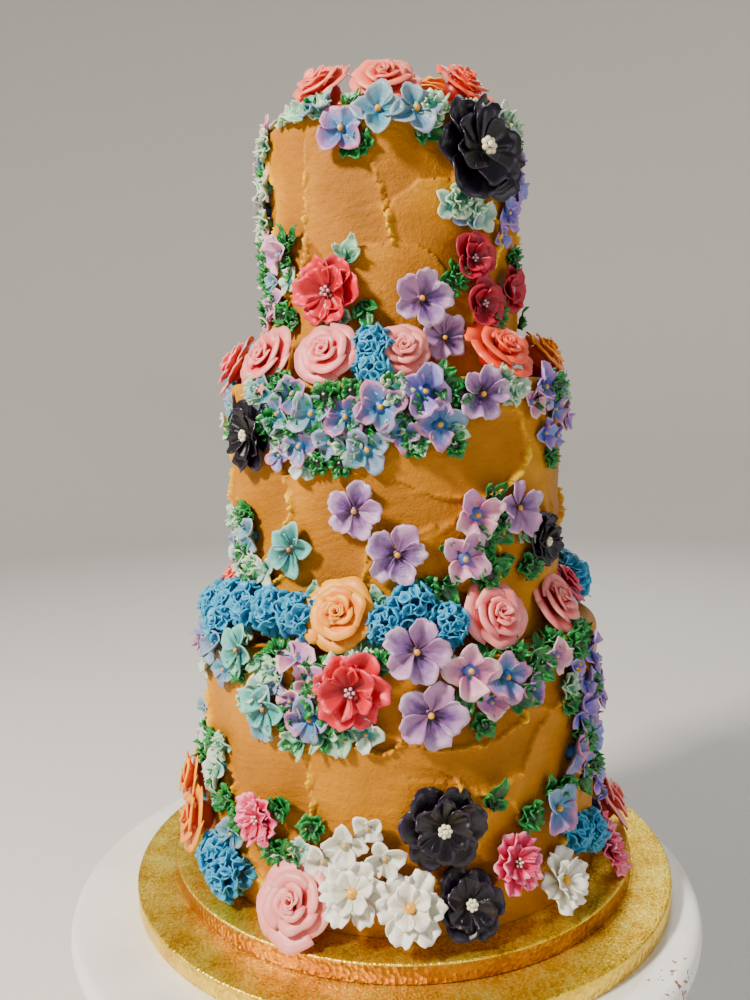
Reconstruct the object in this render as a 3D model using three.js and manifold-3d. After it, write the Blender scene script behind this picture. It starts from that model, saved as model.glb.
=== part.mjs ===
// A three-tier buttercream wedding cake with piped flowers, on two gold boards and a white pedestal stand.
// Millimetres, +Z up, origin at the middle of the stand's foot, where it meets the table. -Y is the front.
import * as THREE from "three";
import { mergeVertices } from "three/addons/utils/BufferGeometryUtils.js";
import Module from "manifold-3d";

const wasm = await Module();
wasm.setup();

// Driving dimensions: 6, 8 and 10 inch cakes, each 6 inches tall, on 12 and 14 inch boards.
const INCH = 25.4;
const TIER_HEIGHT = 6 * INCH;
const BOARD_THICKNESS = 12;
const SMALL_BOARD_RADIUS = 6 * INCH;
const LARGE_BOARD_RADIUS = 7 * INCH;
const PLATE_RADIUS = 8 * INCH;
const STAND_HEIGHT = 100;
const CAKE_OFFSET = [12, 13]; // the boards stand a little off the middle of the plate
const ICING = { low: 3, mid: 6, top: 3.9 }; // buttercream spread outside the sponge
const GAP = 0.4; // air between one solid and the next

const CAKE_BASE = STAND_HEIGHT + 2 * BOARD_THICKNESS;

// The tiers: floor is above the cake's base, and seed is for the unevenness at the back.
const TIERS = {
  low: { radius: 5 * INCH + ICING.low, floor: 0, seed: 11 },
  mid: { radius: 4 * INCH + ICING.mid, floor: TIER_HEIGHT, seed: 23 },
  top: { radius: 3 * INCH + ICING.top, floor: 2 * TIER_HEIGHT, seed: 37 },
};

const MATERIALS = {
  stand: { color: 0xf2f0ea, roughness: 0.35, metalness: 0 },
  board: { color: 0xc79a1e, roughness: 0.38, metalness: 0.85 },
  icing: { color: 0xd98a1c, roughness: 0.5, metalness: 0 },
  pink: { color: 0xf0a0a0, roughness: 0.5, metalness: 0 },
  coral: { color: 0xe8684c, roughness: 0.5, metalness: 0 },
  peach: { color: 0xf5b660, roughness: 0.5, metalness: 0 },
  orange: { color: 0xf08a24, roughness: 0.5, metalness: 0 },
  crimson: { color: 0xb8122c, roughness: 0.5, metalness: 0 },
  aubergine: { color: 0x17101f, roughness: 0.4, metalness: 0 },
  lilac: { color: 0xb394c4, roughness: 0.5, metalness: 0 },
  teal: { color: 0x7fb9b5, roughness: 0.5, metalness: 0 },
  blue: { color: 0x3f93b8, roughness: 0.5, metalness: 0 },
  cream: { color: 0xf2efdf, roughness: 0.5, metalness: 0 },
  hydrangea: { color: 0xa9a6c4, roughness: 0.5, metalness: 0 },
};

const radians = THREE.MathUtils.degToRad;

// A repeatable run of numbers from 0 to 1.
const MULTIPLIER = 16807;
const MODULUS = 2147483647;
function drawFrom(seed) {
  let state = seed;
  return () => {
    state = (state * MULTIPLIER) % MODULUS;
    return state / MODULUS;
  };
}

const WELD = 1e-3; // points nearer than this become one

function solidOf(geometry) {
  const bare = geometry.clone();
  bare.deleteAttribute("normal");
  bare.deleteAttribute("uv");
  const merged = mergeVertices(bare, WELD);
  return new wasm.Manifold(
    new wasm.Mesh({
      numProp: 3,
      vertProperties: merged.attributes.position.array,
      triVerts: new Uint32Array(merged.index.array),
    }),
  );
}

function geometryOf(solid) {
  const mesh = solid.getMesh();
  const points = new Float32Array(mesh.numVert * 3);
  for (let i = 0; i < mesh.numVert; i++) {
    points.set(mesh.vertProperties.subarray(i * mesh.numProp, i * mesh.numProp + 3), i * 3);
  }
  const geometry = new THREE.BufferGeometry();
  geometry.setAttribute("position", new THREE.BufferAttribute(points, 3));
  geometry.setIndex(new THREE.BufferAttribute(mesh.triVerts, 1));
  geometry.computeVertexNormals();
  return geometry;
}

function joined(solids) {
  return solids.reduce((whole, next) => whole.add(next));
}

function cutBack(solid, others) {
  return others.reduce((left, other) => left.subtract(other), solid);
}

function moved(solid, matrix) {
  return solid.transform(matrix.elements);
}

// The largest body of a solid that a cut has left in pieces.
function largest(solid) {
  const bodies = solid.decompose();
  return bodies.reduce((best, body) => (body.volume() > best.volume() ? body : best));
}

// A form of rings round the Z axis, lowest first, closed by a point on the axis at each end.
// Each ring is a function from an angle to [radius, height].
function ringForm(sides, rings, floor, peak) {
  const points = [0, 0, floor];
  for (const ring of rings) {
    for (let i = 0; i < sides; i++) {
      const angle = (2 * Math.PI * i) / sides;
      const [radius, height] = ring(angle);
      points.push(radius * Math.cos(angle), radius * Math.sin(angle), height);
    }
  }
  points.push(0, 0, peak);
  const last = rings.length * sides + 1;
  const faces = [];
  for (let i = 0; i < sides; i++) {
    const j = (i + 1) % sides;
    faces.push(0, 1 + j, 1 + i);
    for (let k = 0; k + 1 < rings.length; k++) {
      const a = 1 + k * sides;
      const b = a + sides;
      faces.push(a + i, a + j, b + j, a + i, b + j, b + i);
    }
    faces.push(last, last - sides + i, last - sides + j);
  }
  const geometry = new THREE.BufferGeometry();
  geometry.setAttribute("position", new THREE.Float32BufferAttribute(points, 3));
  geometry.setIndex(faces);
  return geometry;
}

// A turned piece, from a profile of [radius, height] that starts and ends on the axis.
function turned(profile, sides) {
  const points = profile.map(([radius, height]) => new THREE.Vector2(radius, height));
  return new THREE.LatheGeometry(points, sides).rotateX(Math.PI / 2);
}

// The pedestal stand: a round foot that sweeps in to a waist and out again under a flat plate.
const STAND_SIDES = 24;
function standForm() {
  const footRadius = 95;
  const footEdge = 6;
  const ankleRadius = 38.4;
  const ankleHeight = 24;
  const waistRadius = 24;
  const waistHeight = 52;
  const neckRadius = 45.6;
  const plateThickness = 14;
  const rim = 6; // the plate's edge is rounded over
  const rimTurn = 2;
  const underside = STAND_HEIGHT - plateThickness;
  return turned(
    [
      [0, 0],
      [footRadius, 0],
      [footRadius, footEdge],
      [ankleRadius, ankleHeight],
      [waistRadius, waistHeight],
      [neckRadius, underside],
      [PLATE_RADIUS - rim, underside],
      [PLATE_RADIUS, underside + plateThickness / 2],
      [PLATE_RADIUS - rimTurn, STAND_HEIGHT - rimTurn],
      [PLATE_RADIUS - rim, STAND_HEIGHT],
      [0, STAND_HEIGHT],
    ],
    STAND_SIDES,
  );
}

// A foil-covered cake board, with its top edge a little worn.
const BOARD_SIDES = 32;
const BOARD_BEVEL = 1;
function boardForm(radius) {
  return turned(
    [
      [0, 0],
      [radius, 0],
      [radius, BOARD_THICKNESS - BOARD_BEVEL],
      [radius - BOARD_BEVEL, BOARD_THICKNESS],
      [0, BOARD_THICKNESS],
    ],
    BOARD_SIDES,
  );
}

// Strokes of the palette knife: a shallow oval swipe that leaves a lip along its lower edge.
// az is round the cake from the front, z above the cake's base, wide and tall are half sizes, turn tilts it.
const STROKES = {
  low: [
    { az: -10, z: 62, wide: 62, tall: 34, turn: -4 },
    { az: -34, z: 84, wide: 26, tall: 44, turn: 8 },
    { az: 25, z: 104, wide: 40, tall: 22, turn: 10 },
    { az: 42, z: 74, wide: 26, tall: 44, turn: -14 },
    { az: 12, z: 128, wide: 46, tall: 20, turn: -6 },
  ],
  mid: [
    { az: -22, z: 222, wide: 24, tall: 52, turn: 6 },
    { az: 4, z: 246, wide: 34, tall: 28, turn: -12 },
    { az: 20, z: 262, wide: 44, tall: 24, turn: 6 },
    { az: 14, z: 196, wide: 30, tall: 30, turn: 24 },
    { az: -48, z: 240, wide: 24, tall: 34, turn: 10 },
  ],
  top: [
    { az: 2, z: 420, wide: 34, tall: 26, turn: -8 },
    { az: 24, z: 388, wide: 36, tall: 26, turn: -12 },
    { az: -20, z: 398, wide: 26, tall: 40, turn: 14 },
    { az: -50, z: 410, wide: 18, tall: 50, turn: 0 },
    { az: 4, z: 350, wide: 44, tall: 26, turn: -20 },
  ],
};
const STROKE_DEPTH = 1.5;
const STROKE_LIP = 0.7;
const LIP_REACH = 1.25; // the lip ends this far out, as a share of the stroke's half size

// Strokes that carry on round the back, spread by a rule with seeded unevenness.
const BACK = { from: 75, to: 290, step: 24, levels: [0.3, 0.7] };
const UNEVEN = { az: 12, level: 0.16, wide: [24, 42], tall: [22, 36], turn: 36 };
function backStrokes(tier) {
  const draw = drawFrom(tier.seed);
  const between = ([least, most]) => least + (most - least) * draw();
  const strokes = [];
  for (let az = BACK.from; az < BACK.to; az += BACK.step) {
    for (const level of BACK.levels) {
      strokes.push({
        az: az + UNEVEN.az * draw(),
        z: tier.floor + TIER_HEIGHT * (level + UNEVEN.level * (draw() - 0.5)),
        wide: between(UNEVEN.wide),
        tall: between(UNEVEN.tall),
        turn: UNEVEN.turn * (draw() - 0.5),
      });
    }
  }
  return strokes;
}

// How far the buttercream stands in or out at a place on a tier's side.
// Where a later stroke presses in, it wipes out those before it.
function relief(strokes, radius, az, z) {
  let height = 0;
  for (const stroke of strokes) {
    const round = radians(((az - stroke.az + 540) % 360) - 180) * radius;
    const turn = radians(stroke.turn);
    const across = round * Math.cos(turn) + (z - stroke.z) * Math.sin(turn);
    const along = (z - stroke.z) * Math.cos(turn) - round * Math.sin(turn);
    const reach = Math.hypot(across / stroke.wide, along / stroke.tall);
    if (reach < 1) {
      height = -STROKE_DEPTH * (1 - reach * reach);
    } else if (reach < LIP_REACH && along < 0) {
      height += (STROKE_LIP * (LIP_REACH - reach)) / (LIP_REACH - 1);
    }
  }
  return Math.min(height, STROKE_LIP);
}

// A tier: rings of buttercream with the strokes in them, and a rounded top edge.
const TIER_SIDES = 30;
const TIER_ROWS = 4;
const EDGE = 5; // how far the top edge is rounded
function tierForm(key) {
  const { radius, floor } = TIERS[key];
  const strokes = [...STROKES[key], ...backStrokes(TIERS[key])];
  const rings = [() => [radius, floor]];
  for (let row = 1; row <= TIER_ROWS; row++) {
    const z = floor + ((TIER_HEIGHT - EDGE) * row) / TIER_ROWS;
    const ring = (angle) => {
      const az = THREE.MathUtils.radToDeg(angle) + 90;
      return [radius + relief(strokes, radius, az, z), z];
    };
    rings.push(ring);
  }
  rings.push(() => [radius - EDGE, floor + TIER_HEIGHT]);
  return ringForm(TIER_SIDES, rings, floor, floor + TIER_HEIGHT);
}

// A smooth form just outside a tier, which cuts the backs of the flowers that lie on it.
function tierSkin(key) {
  const { radius, floor } = TIERS[key];
  const reach = radius + STROKE_LIP + GAP;
  const bottom = floor - GAP;
  const top = floor + TIER_HEIGHT + GAP;
  return solidOf(ringForm(TIER_SIDES, [() => [reach, bottom], () => [reach, top]], bottom, top));
}

// Flowers, each facing +Z with its back at 0. Size is the radius over its petals.

// Rounded petals round a ring: the share of full reach at an angle.
function scallop(angle, petals, shift, depth) {
  return 1 - depth * (1 - Math.sqrt(Math.abs(Math.sin((petals * (angle + shift)) / 2))));
}

// A plain ring, and a ring of petals whose tips stand up by lift.
const plain = (size, reach, height) => () => [size * reach, size * height];
const petals = (size, reach, height, { count, shift = 0, depth, lift = 0 }) => (angle) => {
  const share = scallop(angle, count, shift, depth);
  return [size * reach * share, size * (height + lift * share)];
};

// A piped rose: rows of petals that stand up round a tight middle.
function rose(size, under) {
  const form = ringForm(
    10,
    [
      petals(size, 1, 0.1, { count: 5, depth: 0.16, lift: 0.12 }),
      plain(size, 0.66, 0.3),
      petals(size, 0.5, 0.46, { count: 5, shift: 0.6, depth: 0.18, lift: 0.14 }),
    ],
    -under,
    size * 0.58,
  );
  return solidOf(form);
}

// Two frilled rows of petals round a hollow, which the stamens fill to the knot's height.
function frilled(size, under, { count, depth, lift, knot }) {
  const form = ringForm(
    count * 2,
    [
      petals(size, 1, 0.12, { count, depth, lift }),
      plain(size, 0.62, 0.23),
      petals(size, 0.56, 0.28, { count, shift: 0.45, depth, lift }),
    ],
    -under,
    size * knot,
  );
  return solidOf(form);
}

// Flat petals round a shallow throat with a bead in it.
const POINTS_A_PETAL = 3;
function open(size, under, { count, depth, rise, throat, bead }) {
  const form = ringForm(
    count * POINTS_A_PETAL,
    [
      petals(size, 1, 0.06, { count, depth, lift: rise }),
      plain(size, 0.3, throat),
    ],
    -under,
    size * (throat + bead),
  );
  return solidOf(form);
}

// A small four-petalled blossom, a single shallow star.
function blossom(size, under) {
  const form = ringForm(
    8,
    [petals(size, 1, 0.08, { count: 4, depth: 0.34, lift: 0.3 })],
    -under,
    size * 0.26,
  );
  return solidOf(form);
}

// A mound of little frilled florets, piped close together.
function cluster(size, under) {
  const form = ringForm(
    10,
    [
      petals(size, 1, 0.06, { count: 5, depth: 0.16, lift: 0.1 }),
      petals(size, 0.72, 0.42, { count: 5, shift: 0.6, depth: 0.16 }),
    ],
    -under,
    size * 0.56,
  );
  return solidOf(form);
}

// A leaf from the leaf nozzle: a thin pointed lens that lifts towards its tip. Its middle is at 0.
function leaf(length) {
  const width = length * 0.6;
  const thick = 1.5; // from its middle to each face
  const rise = length * 0.2;
  const middle = rise * 0.3;
  const sunk = 0.3; // its foot is pressed into the icing
  const outline = [
    [-0.5, 0, 0],
    [-0.05, -0.5, 0.4],
    [0.5, 0, 1],
    [-0.05, 0.5, 0.4],
  ];
  const points = outline.flatMap(([along, side, up]) => [along * length, side * width, up * rise]);
  points.push(0, 0, middle + thick, 0, 0, middle - thick);
  const faces = [];
  const above = outline.length;
  const below = above + 1;
  outline.forEach((_, i) => {
    const j = (i + 1) % outline.length;
    faces.push(above, i, j, below, j, i);
  });
  const geometry = new THREE.BufferGeometry();
  geometry.setAttribute("position", new THREE.Float32BufferAttribute(points, 3));
  geometry.setIndex(faces);
  return solidOf(geometry.translate(0, 0, -sunk));
}

const FORMS = {
  rose,
  blossom,
  cluster,
  leaf,
  anemone: (size, under) => frilled(size, under, { count: 7, depth: 0.2, lift: 0.08, knot: 0.22 }),
  mallow: (size, under) => frilled(size, under, { count: 7, depth: 0.3, lift: 0.14, knot: 0.22 }),
  carnation: (size, under) => frilled(size, under, { count: 6, depth: 0.26, lift: 0.12, knot: 0.22 }),
  pansy: (size, under) => open(size, under, { count: 5, depth: 0.3, rise: 0.22, throat: 0.12, bead: 0.12 }),
  teal: (size, under) => open(size, under, { count: 5, depth: 0.36, rise: 0.28, throat: 0.18, bead: 0.1 }),
  primrose: (size, under) => open(size, under, { count: 5, depth: 0.26, rise: 0.34, throat: 0.14, bead: 0.16 }),
  open: (size, under) => open(size, under, { count: 4, depth: 0.34, rise: 0.26, throat: 0.12, bead: 0.12 }),
};

// The colour of each kind of flower, unless its row gives another.
const COLOR_OF = {
  rose: "pink",
  anemone: "aubergine",
  mallow: "crimson",
  carnation: "pink",
  pansy: "lilac",
  teal: "teal",
  primrose: "cream",
  open: "hydrangea",
};

// A flower's height above its back, as a share of its size.
const HEIGHTS = {
  rose: 0.68,
  anemone: 0.48,
  mallow: 0.52,
  carnation: 0.5,
  pansy: 0.34,
  teal: 0.36,
  primrose: 0.4,
  open: 0.34,
  cluster: 0.58,
};

// A flower on a ledge has a cone under it this deep, as a share of its size.
// A flower on a tier's side has a flat back.
const UNDERSIDE = 0.36;

// A form that holds a whole flower with the gap round it, to cut its neighbours back.
const ENVELOPE_SIDES = 8;
const ENVELOPE_REACH = 1.03;
const ENVELOPE_SPARE = 0.6;
function envelope(kind, size) {
  const reach = size * ENVELOPE_REACH + GAP;
  const top = size * HEIGHTS[kind] + ENVELOPE_SPARE + GAP;
  const depth = size * UNDERSIDE + GAP;
  const prism = ringForm(ENVELOPE_SIDES, [() => [reach, -depth], () => [reach, top]], -depth, top);
  return solidOf(prism);
}

const SEAT = 1.4; // a flower on a tier's side stands this far out of it, clear of the strokes

// A bloom's place: az round the cake from the front, z above the cake's base, out from the cake's axis,
// lean of its face above level, turn about its own axis. On a tier, out comes from the tier's radius.
function placed({ az, z, out, on, lean = 0, turn = 0 }) {
  const radius = out ?? TIERS[on].radius + SEAT;
  return new THREE.Matrix4()
    .makeRotationZ(radians(az))
    .multiply(new THREE.Matrix4().makeTranslation(0, -radius, z))
    .multiply(new THREE.Matrix4().makeRotationX(radians(90 - lean)))
    .multiply(new THREE.Matrix4().makeRotationZ(radians(turn)));
}

// A bloom in the cake's frame.
function bloomSolid(bloom) {
  const under = bloom.on ? 0 : bloom.size * UNDERSIDE;
  return moved(FORMS[bloom.kind](bloom.size, under), placed(bloom));
}

function bloomEnvelope(bloom) {
  return moved(envelope(bloom.kind, bloom.size), placed(bloom));
}

// Single flowers, those that lie over the rest first: each later one is cut back from those before it.
// Those with out stand on a ledge, and those with on are piped on that tier's side.
const SINGLES = [
  { name: "rose_top_pink", kind: "rose", az: -3.5, z: 471, out: 54, lean: 42, size: 21 },
  { name: "rose_top_blush", kind: "rose", az: -46, z: 474, out: 54, lean: 45, size: 22 },
  { name: "rose_top_coral", kind: "rose", color: "coral", az: 47, z: 474, out: 56, lean: 45, size: 18.5 },
  { name: "anemone_top", kind: "anemone", az: 37, z: 432, on: "top", lean: 6, size: 33 },
  { name: "mallow_top", kind: "mallow", az: -26, z: 354, on: "top", lean: 5, size: 22.5 },
  { name: "rose_mid_coral", kind: "rose", color: "coral", az: 39, z: 316, out: 93, lean: 45, size: 22 },
  { name: "rose_mid_orange", kind: "rose", color: "orange", az: 74, z: 319, out: 95, lean: 42, size: 17 },
  { name: "rose_mid_pink", kind: "rose", az: -21.5, z: 317, out: 98, lean: 24, size: 18.5 },
  { name: "rose_mid_dusky", kind: "rose", az: -46, z: 316, out: 98, lean: 26, size: 20.5 },
  { name: "rose_mid_shell", kind: "rose", az: 3, z: 319, out: 93, lean: 25, size: 15.5 },
  { name: "rose_low_peach", kind: "rose", color: "peach", az: -16, z: 175, out: 112, lean: 25, size: 21 },
  { name: "rose_low_pink", kind: "rose", az: 28, z: 171, out: 112, lean: 28, size: 20 },
  { name: "rose_low_dusky", kind: "rose", az: 57, z: 168, out: 108, lean: 35, size: 22 },
  { name: "rose_low_raspberry", kind: "rose", color: "crimson", az: 79, z: 173, out: 108, lean: 40, size: 16 },
  { name: "rose_low_blush", kind: "rose", az: -76, z: 180, out: 103, lean: 38, size: 17.5 },
  { name: "rose_base_blush", kind: "rose", az: -24.5, z: 18, out: 138, lean: 32, size: 23 },
  { name: "primrose_base_left", kind: "primrose", az: -11, z: 30, out: 139, lean: 28, size: 20 },
  { name: "primrose_base_middle", kind: "primrose", az: 1.5, z: 24, out: 141, lean: 32, size: 20.5 },
  { name: "anemone_base_small", kind: "anemone", az: 15, z: 21, out: 137, lean: 26, size: 21.5 },
  { name: "anemone_base_large", kind: "anemone", az: 9.5, z: 64, on: "low", lean: 5, size: 25 },
  { name: "primrose_base_right", kind: "primrose", az: 40.5, z: 19, out: 139, lean: 28, size: 18.5 },
  { name: "carnation_base_right", kind: "carnation", az: 27.5, z: 38, out: 134, lean: 15, size: 17 },
  { name: "carnation_base_left", kind: "carnation", az: -38, z: 57, on: "low", lean: 4, size: 16.5 },
  { name: "carnation_base_far", kind: "carnation", az: 66, z: 13, out: 139, lean: 25, size: 20 },
  { name: "mallow_low", kind: "mallow", az: -11, z: 140, on: "low", lean: 3, size: 22.5 },
  { name: "pansy_low_rim", kind: "pansy", az: 4, z: 161, on: "low", lean: 8, size: 17.5 },
  { name: "pansy_low_side", kind: "pansy", az: 7, z: 127, on: "low", size: 18 },
  { name: "pansy_top_left", kind: "pansy", az: 11, z: 349, on: "top", size: 16.5 },
  { name: "pansy_top_right", kind: "pansy", az: 20, z: 327, on: "top", lean: 4, size: 14.5, turn: 36 },
  { name: "pansy_mid_rim", kind: "pansy", az: 25.5, z: 295, on: "mid", size: 15.5 },
  { name: "pansy_mid_left", kind: "pansy", az: -12, z: 233, on: "mid", size: 16 },
  { name: "pansy_mid_middle", kind: "pansy", az: 0, z: 209, on: "mid", size: 16.5 },
  { name: "pansy_mid_right", kind: "pansy", az: 38.5, z: 231, on: "mid", size: 16, turn: 20 },
  { name: "teal_mid", kind: "teal", az: -33, z: 210, on: "mid", size: 17 },
  { name: "teal_low_rim", kind: "teal", az: -43.5, z: 153, on: "low", lean: 6, size: 16.5 },
  { name: "teal_low_side", kind: "teal", az: -34.5, z: 123, on: "low", size: 17 },
  { name: "anemone_mid_left", kind: "anemone", az: -50, z: 274, on: "mid", size: 22.5 },
  { name: "anemone_mid_right", kind: "anemone", az: 51, z: 209, on: "mid", size: 18.5 },
  { name: "crimson_top", kind: "carnation", color: "crimson", az: 33, z: 372, on: "top", size: 13.5 },
  { name: "crimson_low", kind: "carnation", color: "crimson", az: 38, z: 347, on: "top", size: 14, turn: 20 },
  { name: "crimson_right", kind: "carnation", color: "crimson", az: 56, z: 357, on: "top", size: 13, turn: 40 },
  { name: "hydrangea_base", kind: "open", az: 42, z: 59, on: "low", lean: 8, size: 17.5, turn: 40 },
  { name: "hydrangea_top", kind: "open", az: -19, z: 442, on: "top", lean: 6, size: 16, turn: 40 },
];

// Flowers that lap one another make one piece: clumps of little blue florets, a pair of roses,
// and the garlands that carry the ledges' flowers on round the back.
const GROUPS = [
  {
    name: "roses_base_orange",
    color: "orange",
    blooms: [
      { kind: "rose", az: -66, z: 34, out: 138, lean: 14, size: 20 },
      { kind: "rose", az: -76, z: 50, out: 135, lean: 10, size: 21 },
    ],
  },
  {
    name: "hydrangeas_rim",
    color: "hydrangea",
    blooms: [
      { kind: "open", az: -4.5, z: 450, on: "top", lean: 12, size: 16.5 },
      { kind: "open", az: 10, z: 450, on: "top", lean: 12, size: 16.5, turn: 20 },
    ],
  },
  {
    name: "blue_mid",
    color: "blue",
    blooms: [
      { kind: "cluster", az: -7, z: 322, out: 96, lean: 20, size: 12 },
      { kind: "cluster", az: -6.5, z: 308, out: 102, lean: 12, size: 11.5 },
    ],
  },
  {
    name: "blue_low",
    color: "blue",
    blooms: [
      { kind: "cluster", az: 4, z: 181, out: 113, lean: 26, size: 14 },
      { kind: "cluster", az: 13, z: 171, out: 117, lean: 26, size: 12.5 },
      { kind: "cluster", az: -3.5, z: 171, out: 117, lean: 26, size: 11.5 },
    ],
  },
  {
    name: "blue_low_left",
    color: "blue",
    blooms: [
      { kind: "cluster", az: -28, z: 174, out: 116, lean: 32, size: 13.5 },
      { kind: "cluster", az: -38, z: 174, out: 116, lean: 34, size: 14 },
      { kind: "cluster", az: -48, z: 174, out: 115, lean: 34, size: 14.5 },
      { kind: "cluster", az: -59, z: 173, out: 115, lean: 34, size: 15 },
      { kind: "cluster", az: -69, z: 167, out: 120, lean: 28, size: 14 },
      { kind: "cluster", az: -58, z: 160, out: 124, lean: 22, size: 13 },
    ],
  },
  {
    name: "blue_base",
    color: "blue",
    blooms: [
      { kind: "cluster", az: -47, z: 17, out: 137, lean: 32, size: 14 },
      { kind: "cluster", az: -55, z: 22, out: 136, lean: 28, size: 13.5 },
    ],
  },
  {
    name: "blue_base_right",
    color: "blue",
    blooms: [
      { kind: "cluster", az: 51, z: 36, out: 130, lean: 12, size: 12 },
      { kind: "cluster", az: 59, z: 30, out: 132, lean: 16, size: 13 },
    ],
  },
  {
    name: "garland_back_top",
    color: "pink",
    blooms: [
      { kind: "rose", az: 100, z: 473, out: 53, lean: 45, size: 22.5 },
      { kind: "rose", az: 136, z: 473, out: 53, lean: 45, size: 23 },
      { kind: "rose", az: 172, z: 473, out: 53, lean: 45, size: 22.5 },
      { kind: "rose", az: 208, z: 473, out: 53, lean: 45, size: 23 },
      { kind: "rose", az: 244, z: 473, out: 53, lean: 45, size: 22.5 },
      { kind: "rose", az: 78, z: 477, out: 25, lean: 76, size: 25 },
      { kind: "rose", az: 230, z: 477, out: 25, lean: 80, size: 26 },
    ],
  },
  {
    name: "garland_back_mid",
    color: "lilac",
    blooms: [
      { kind: "rose", az: 100, z: 315, out: 98, lean: 30, size: 22.5 },
      { kind: "open", az: 118, z: 312, out: 100, lean: 26, size: 21, turn: 45 },
      { kind: "rose", az: 136, z: 315, out: 98, lean: 30, size: 23 },
      { kind: "cluster", az: 154, z: 313, out: 99, lean: 26, size: 19 },
      { kind: "rose", az: 171, z: 315, out: 98, lean: 30, size: 22.5 },
      { kind: "open", az: 189, z: 312, out: 100, lean: 26, size: 21, turn: 45 },
      { kind: "rose", az: 207, z: 315, out: 98, lean: 30, size: 22.5 },
      { kind: "open", az: 225, z: 312, out: 100, lean: 26, size: 21, turn: 45 },
      { kind: "rose", az: 243, z: 315, out: 98, lean: 30, size: 23 },
      { kind: "cluster", az: 260, z: 313, out: 99, lean: 26, size: 19 },
      { kind: "rose", az: 277, z: 315, out: 98, lean: 30, size: 21 },
    ],
  },
  {
    name: "garland_back_low",
    color: "coral",
    blooms: [
      { kind: "cluster", az: 98, z: 168, out: 117, lean: 28, size: 18.5 },
      { kind: "rose", az: 113, z: 170, out: 115, lean: 30, size: 23.5 },
      { kind: "open", az: 129, z: 167, out: 118, lean: 26, size: 21.5, turn: 45 },
      { kind: "rose", az: 145, z: 170, out: 115, lean: 30, size: 23 },
      { kind: "cluster", az: 161, z: 168, out: 117, lean: 28, size: 19 },
      { kind: "rose", az: 176, z: 170, out: 115, lean: 30, size: 23.5 },
      { kind: "open", az: 192, z: 167, out: 118, lean: 26, size: 21.5, turn: 45 },
      { kind: "rose", az: 208, z: 170, out: 115, lean: 30, size: 23 },
      { kind: "cluster", az: 224, z: 168, out: 117, lean: 28, size: 19 },
      { kind: "rose", az: 239, z: 170, out: 115, lean: 30, size: 23.5 },
      { kind: "open", az: 255, z: 167, out: 118, lean: 26, size: 21.5, turn: 45 },
    ],
  },
  {
    name: "garland_back_base",
    color: "cream",
    blooms: [
      { kind: "rose", az: 88, z: 18, out: 137, lean: 32, size: 23 },
      { kind: "open", az: 102, z: 20, out: 136, lean: 30, size: 22, turn: 45 },
      { kind: "rose", az: 117, z: 18, out: 137, lean: 32, size: 23 },
      { kind: "cluster", az: 131, z: 18, out: 137, lean: 30, size: 20 },
      { kind: "open", az: 145, z: 20, out: 136, lean: 30, size: 22, turn: 45 },
      { kind: "rose", az: 159, z: 18, out: 137, lean: 32, size: 23 },
      { kind: "open", az: 173, z: 20, out: 136, lean: 30, size: 22, turn: 45 },
      { kind: "rose", az: 188, z: 18, out: 137, lean: 32, size: 24 },
      { kind: "cluster", az: 203, z: 18, out: 137, lean: 30, size: 20 },
      { kind: "rose", az: 217, z: 18, out: 137, lean: 32, size: 23 },
      { kind: "open", az: 232, z: 20, out: 136, lean: 30, size: 22, turn: 45 },
      { kind: "rose", az: 247, z: 18, out: 137, lean: 32, size: 23 },
      { kind: "cluster", az: 261, z: 18, out: 137, lean: 30, size: 19 },
    ],
  },
];

// Small blossoms piped on a tier's side, fused to it: [az, z, size, turn].
const SMALL_BLOSSOMS = {
  top: [
    [-30, 451, 12, 0],
    [-72, 456, 12, 20],
    [-84, 448, 11, 45],
    [-82, 428, 12, 10],
    [-83, 405, 9, 30],
    [-56, 380, 11.5, 20],
    [-60, 352, 11, 45],
    [-84, 362, 10, 10],
    [56, 454, 10, 10],
    [68, 420, 10, 30],
    [57, 402, 10.5, 0],
    [25, 400, 9, 20],
    [160, 442, 14, 0],
    [206, 418, 12, 40],
    [148, 350, 14, 20],
    [232, 350, 13, 0],
  ],
  mid: [
    [-36, 287, 9.5, 30],
    [-24.5, 287, 13.5, 0],
    [-29, 267, 12, 20],
    [-14, 284, 13.5, 20],
    [-4, 289, 15, 40],
    [-8, 266, 13.5, 0],
    [8.5, 297, 14, 20],
    [12.5, 279, 15, 35],
    [52, 299, 13, 10],
    [53, 272, 9, 30],
    [-45, 195, 9, 10],
    [-61, 197, 9, 30],
    [-53, 214, 10, 0],
    [23.5, 229, 15.5, 10],
    [19.5, 205, 15.5, 40],
    [-66, 290, 10, 20],
    [-78, 278, 10, 0],
    [76, 282, 11, 20],
    [171, 284, 14, 10],
    [236, 282, 14, 20],
    [126, 204, 15, 20],
    [158, 222, 15, 0],
    [216, 214, 15, 30],
  ],
  low: [
    [-26.5, 152, 12.5, 0],
    [-22.5, 143, 10, 20],
    [-21.5, 122, 12.5, 40],
    [16.5, 149, 15, 0],
    [26, 144, 13, 30],
    [61, 142, 11, 20],
    [51, 136, 9, 0],
    [70, 112, 11, 30],
    [54, 109, 13.5, 10],
    [51, 85, 14, 35],
    [67, 58, 10, 0],
    [-50, 38, 12, 20],
    [-57, 74, 12.5, 0],
    [-67, 86, 9, 30],
    [-69, 99, 8, 10],
    [-76, 80, 10, 0],
    [-13.5, 53, 12, 45],
    [-4, 46, 10, 10],
    [112, 136, 15, 0],
    [160, 136, 15, 10],
    [216, 134, 15, 20],
  ],
};

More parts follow.
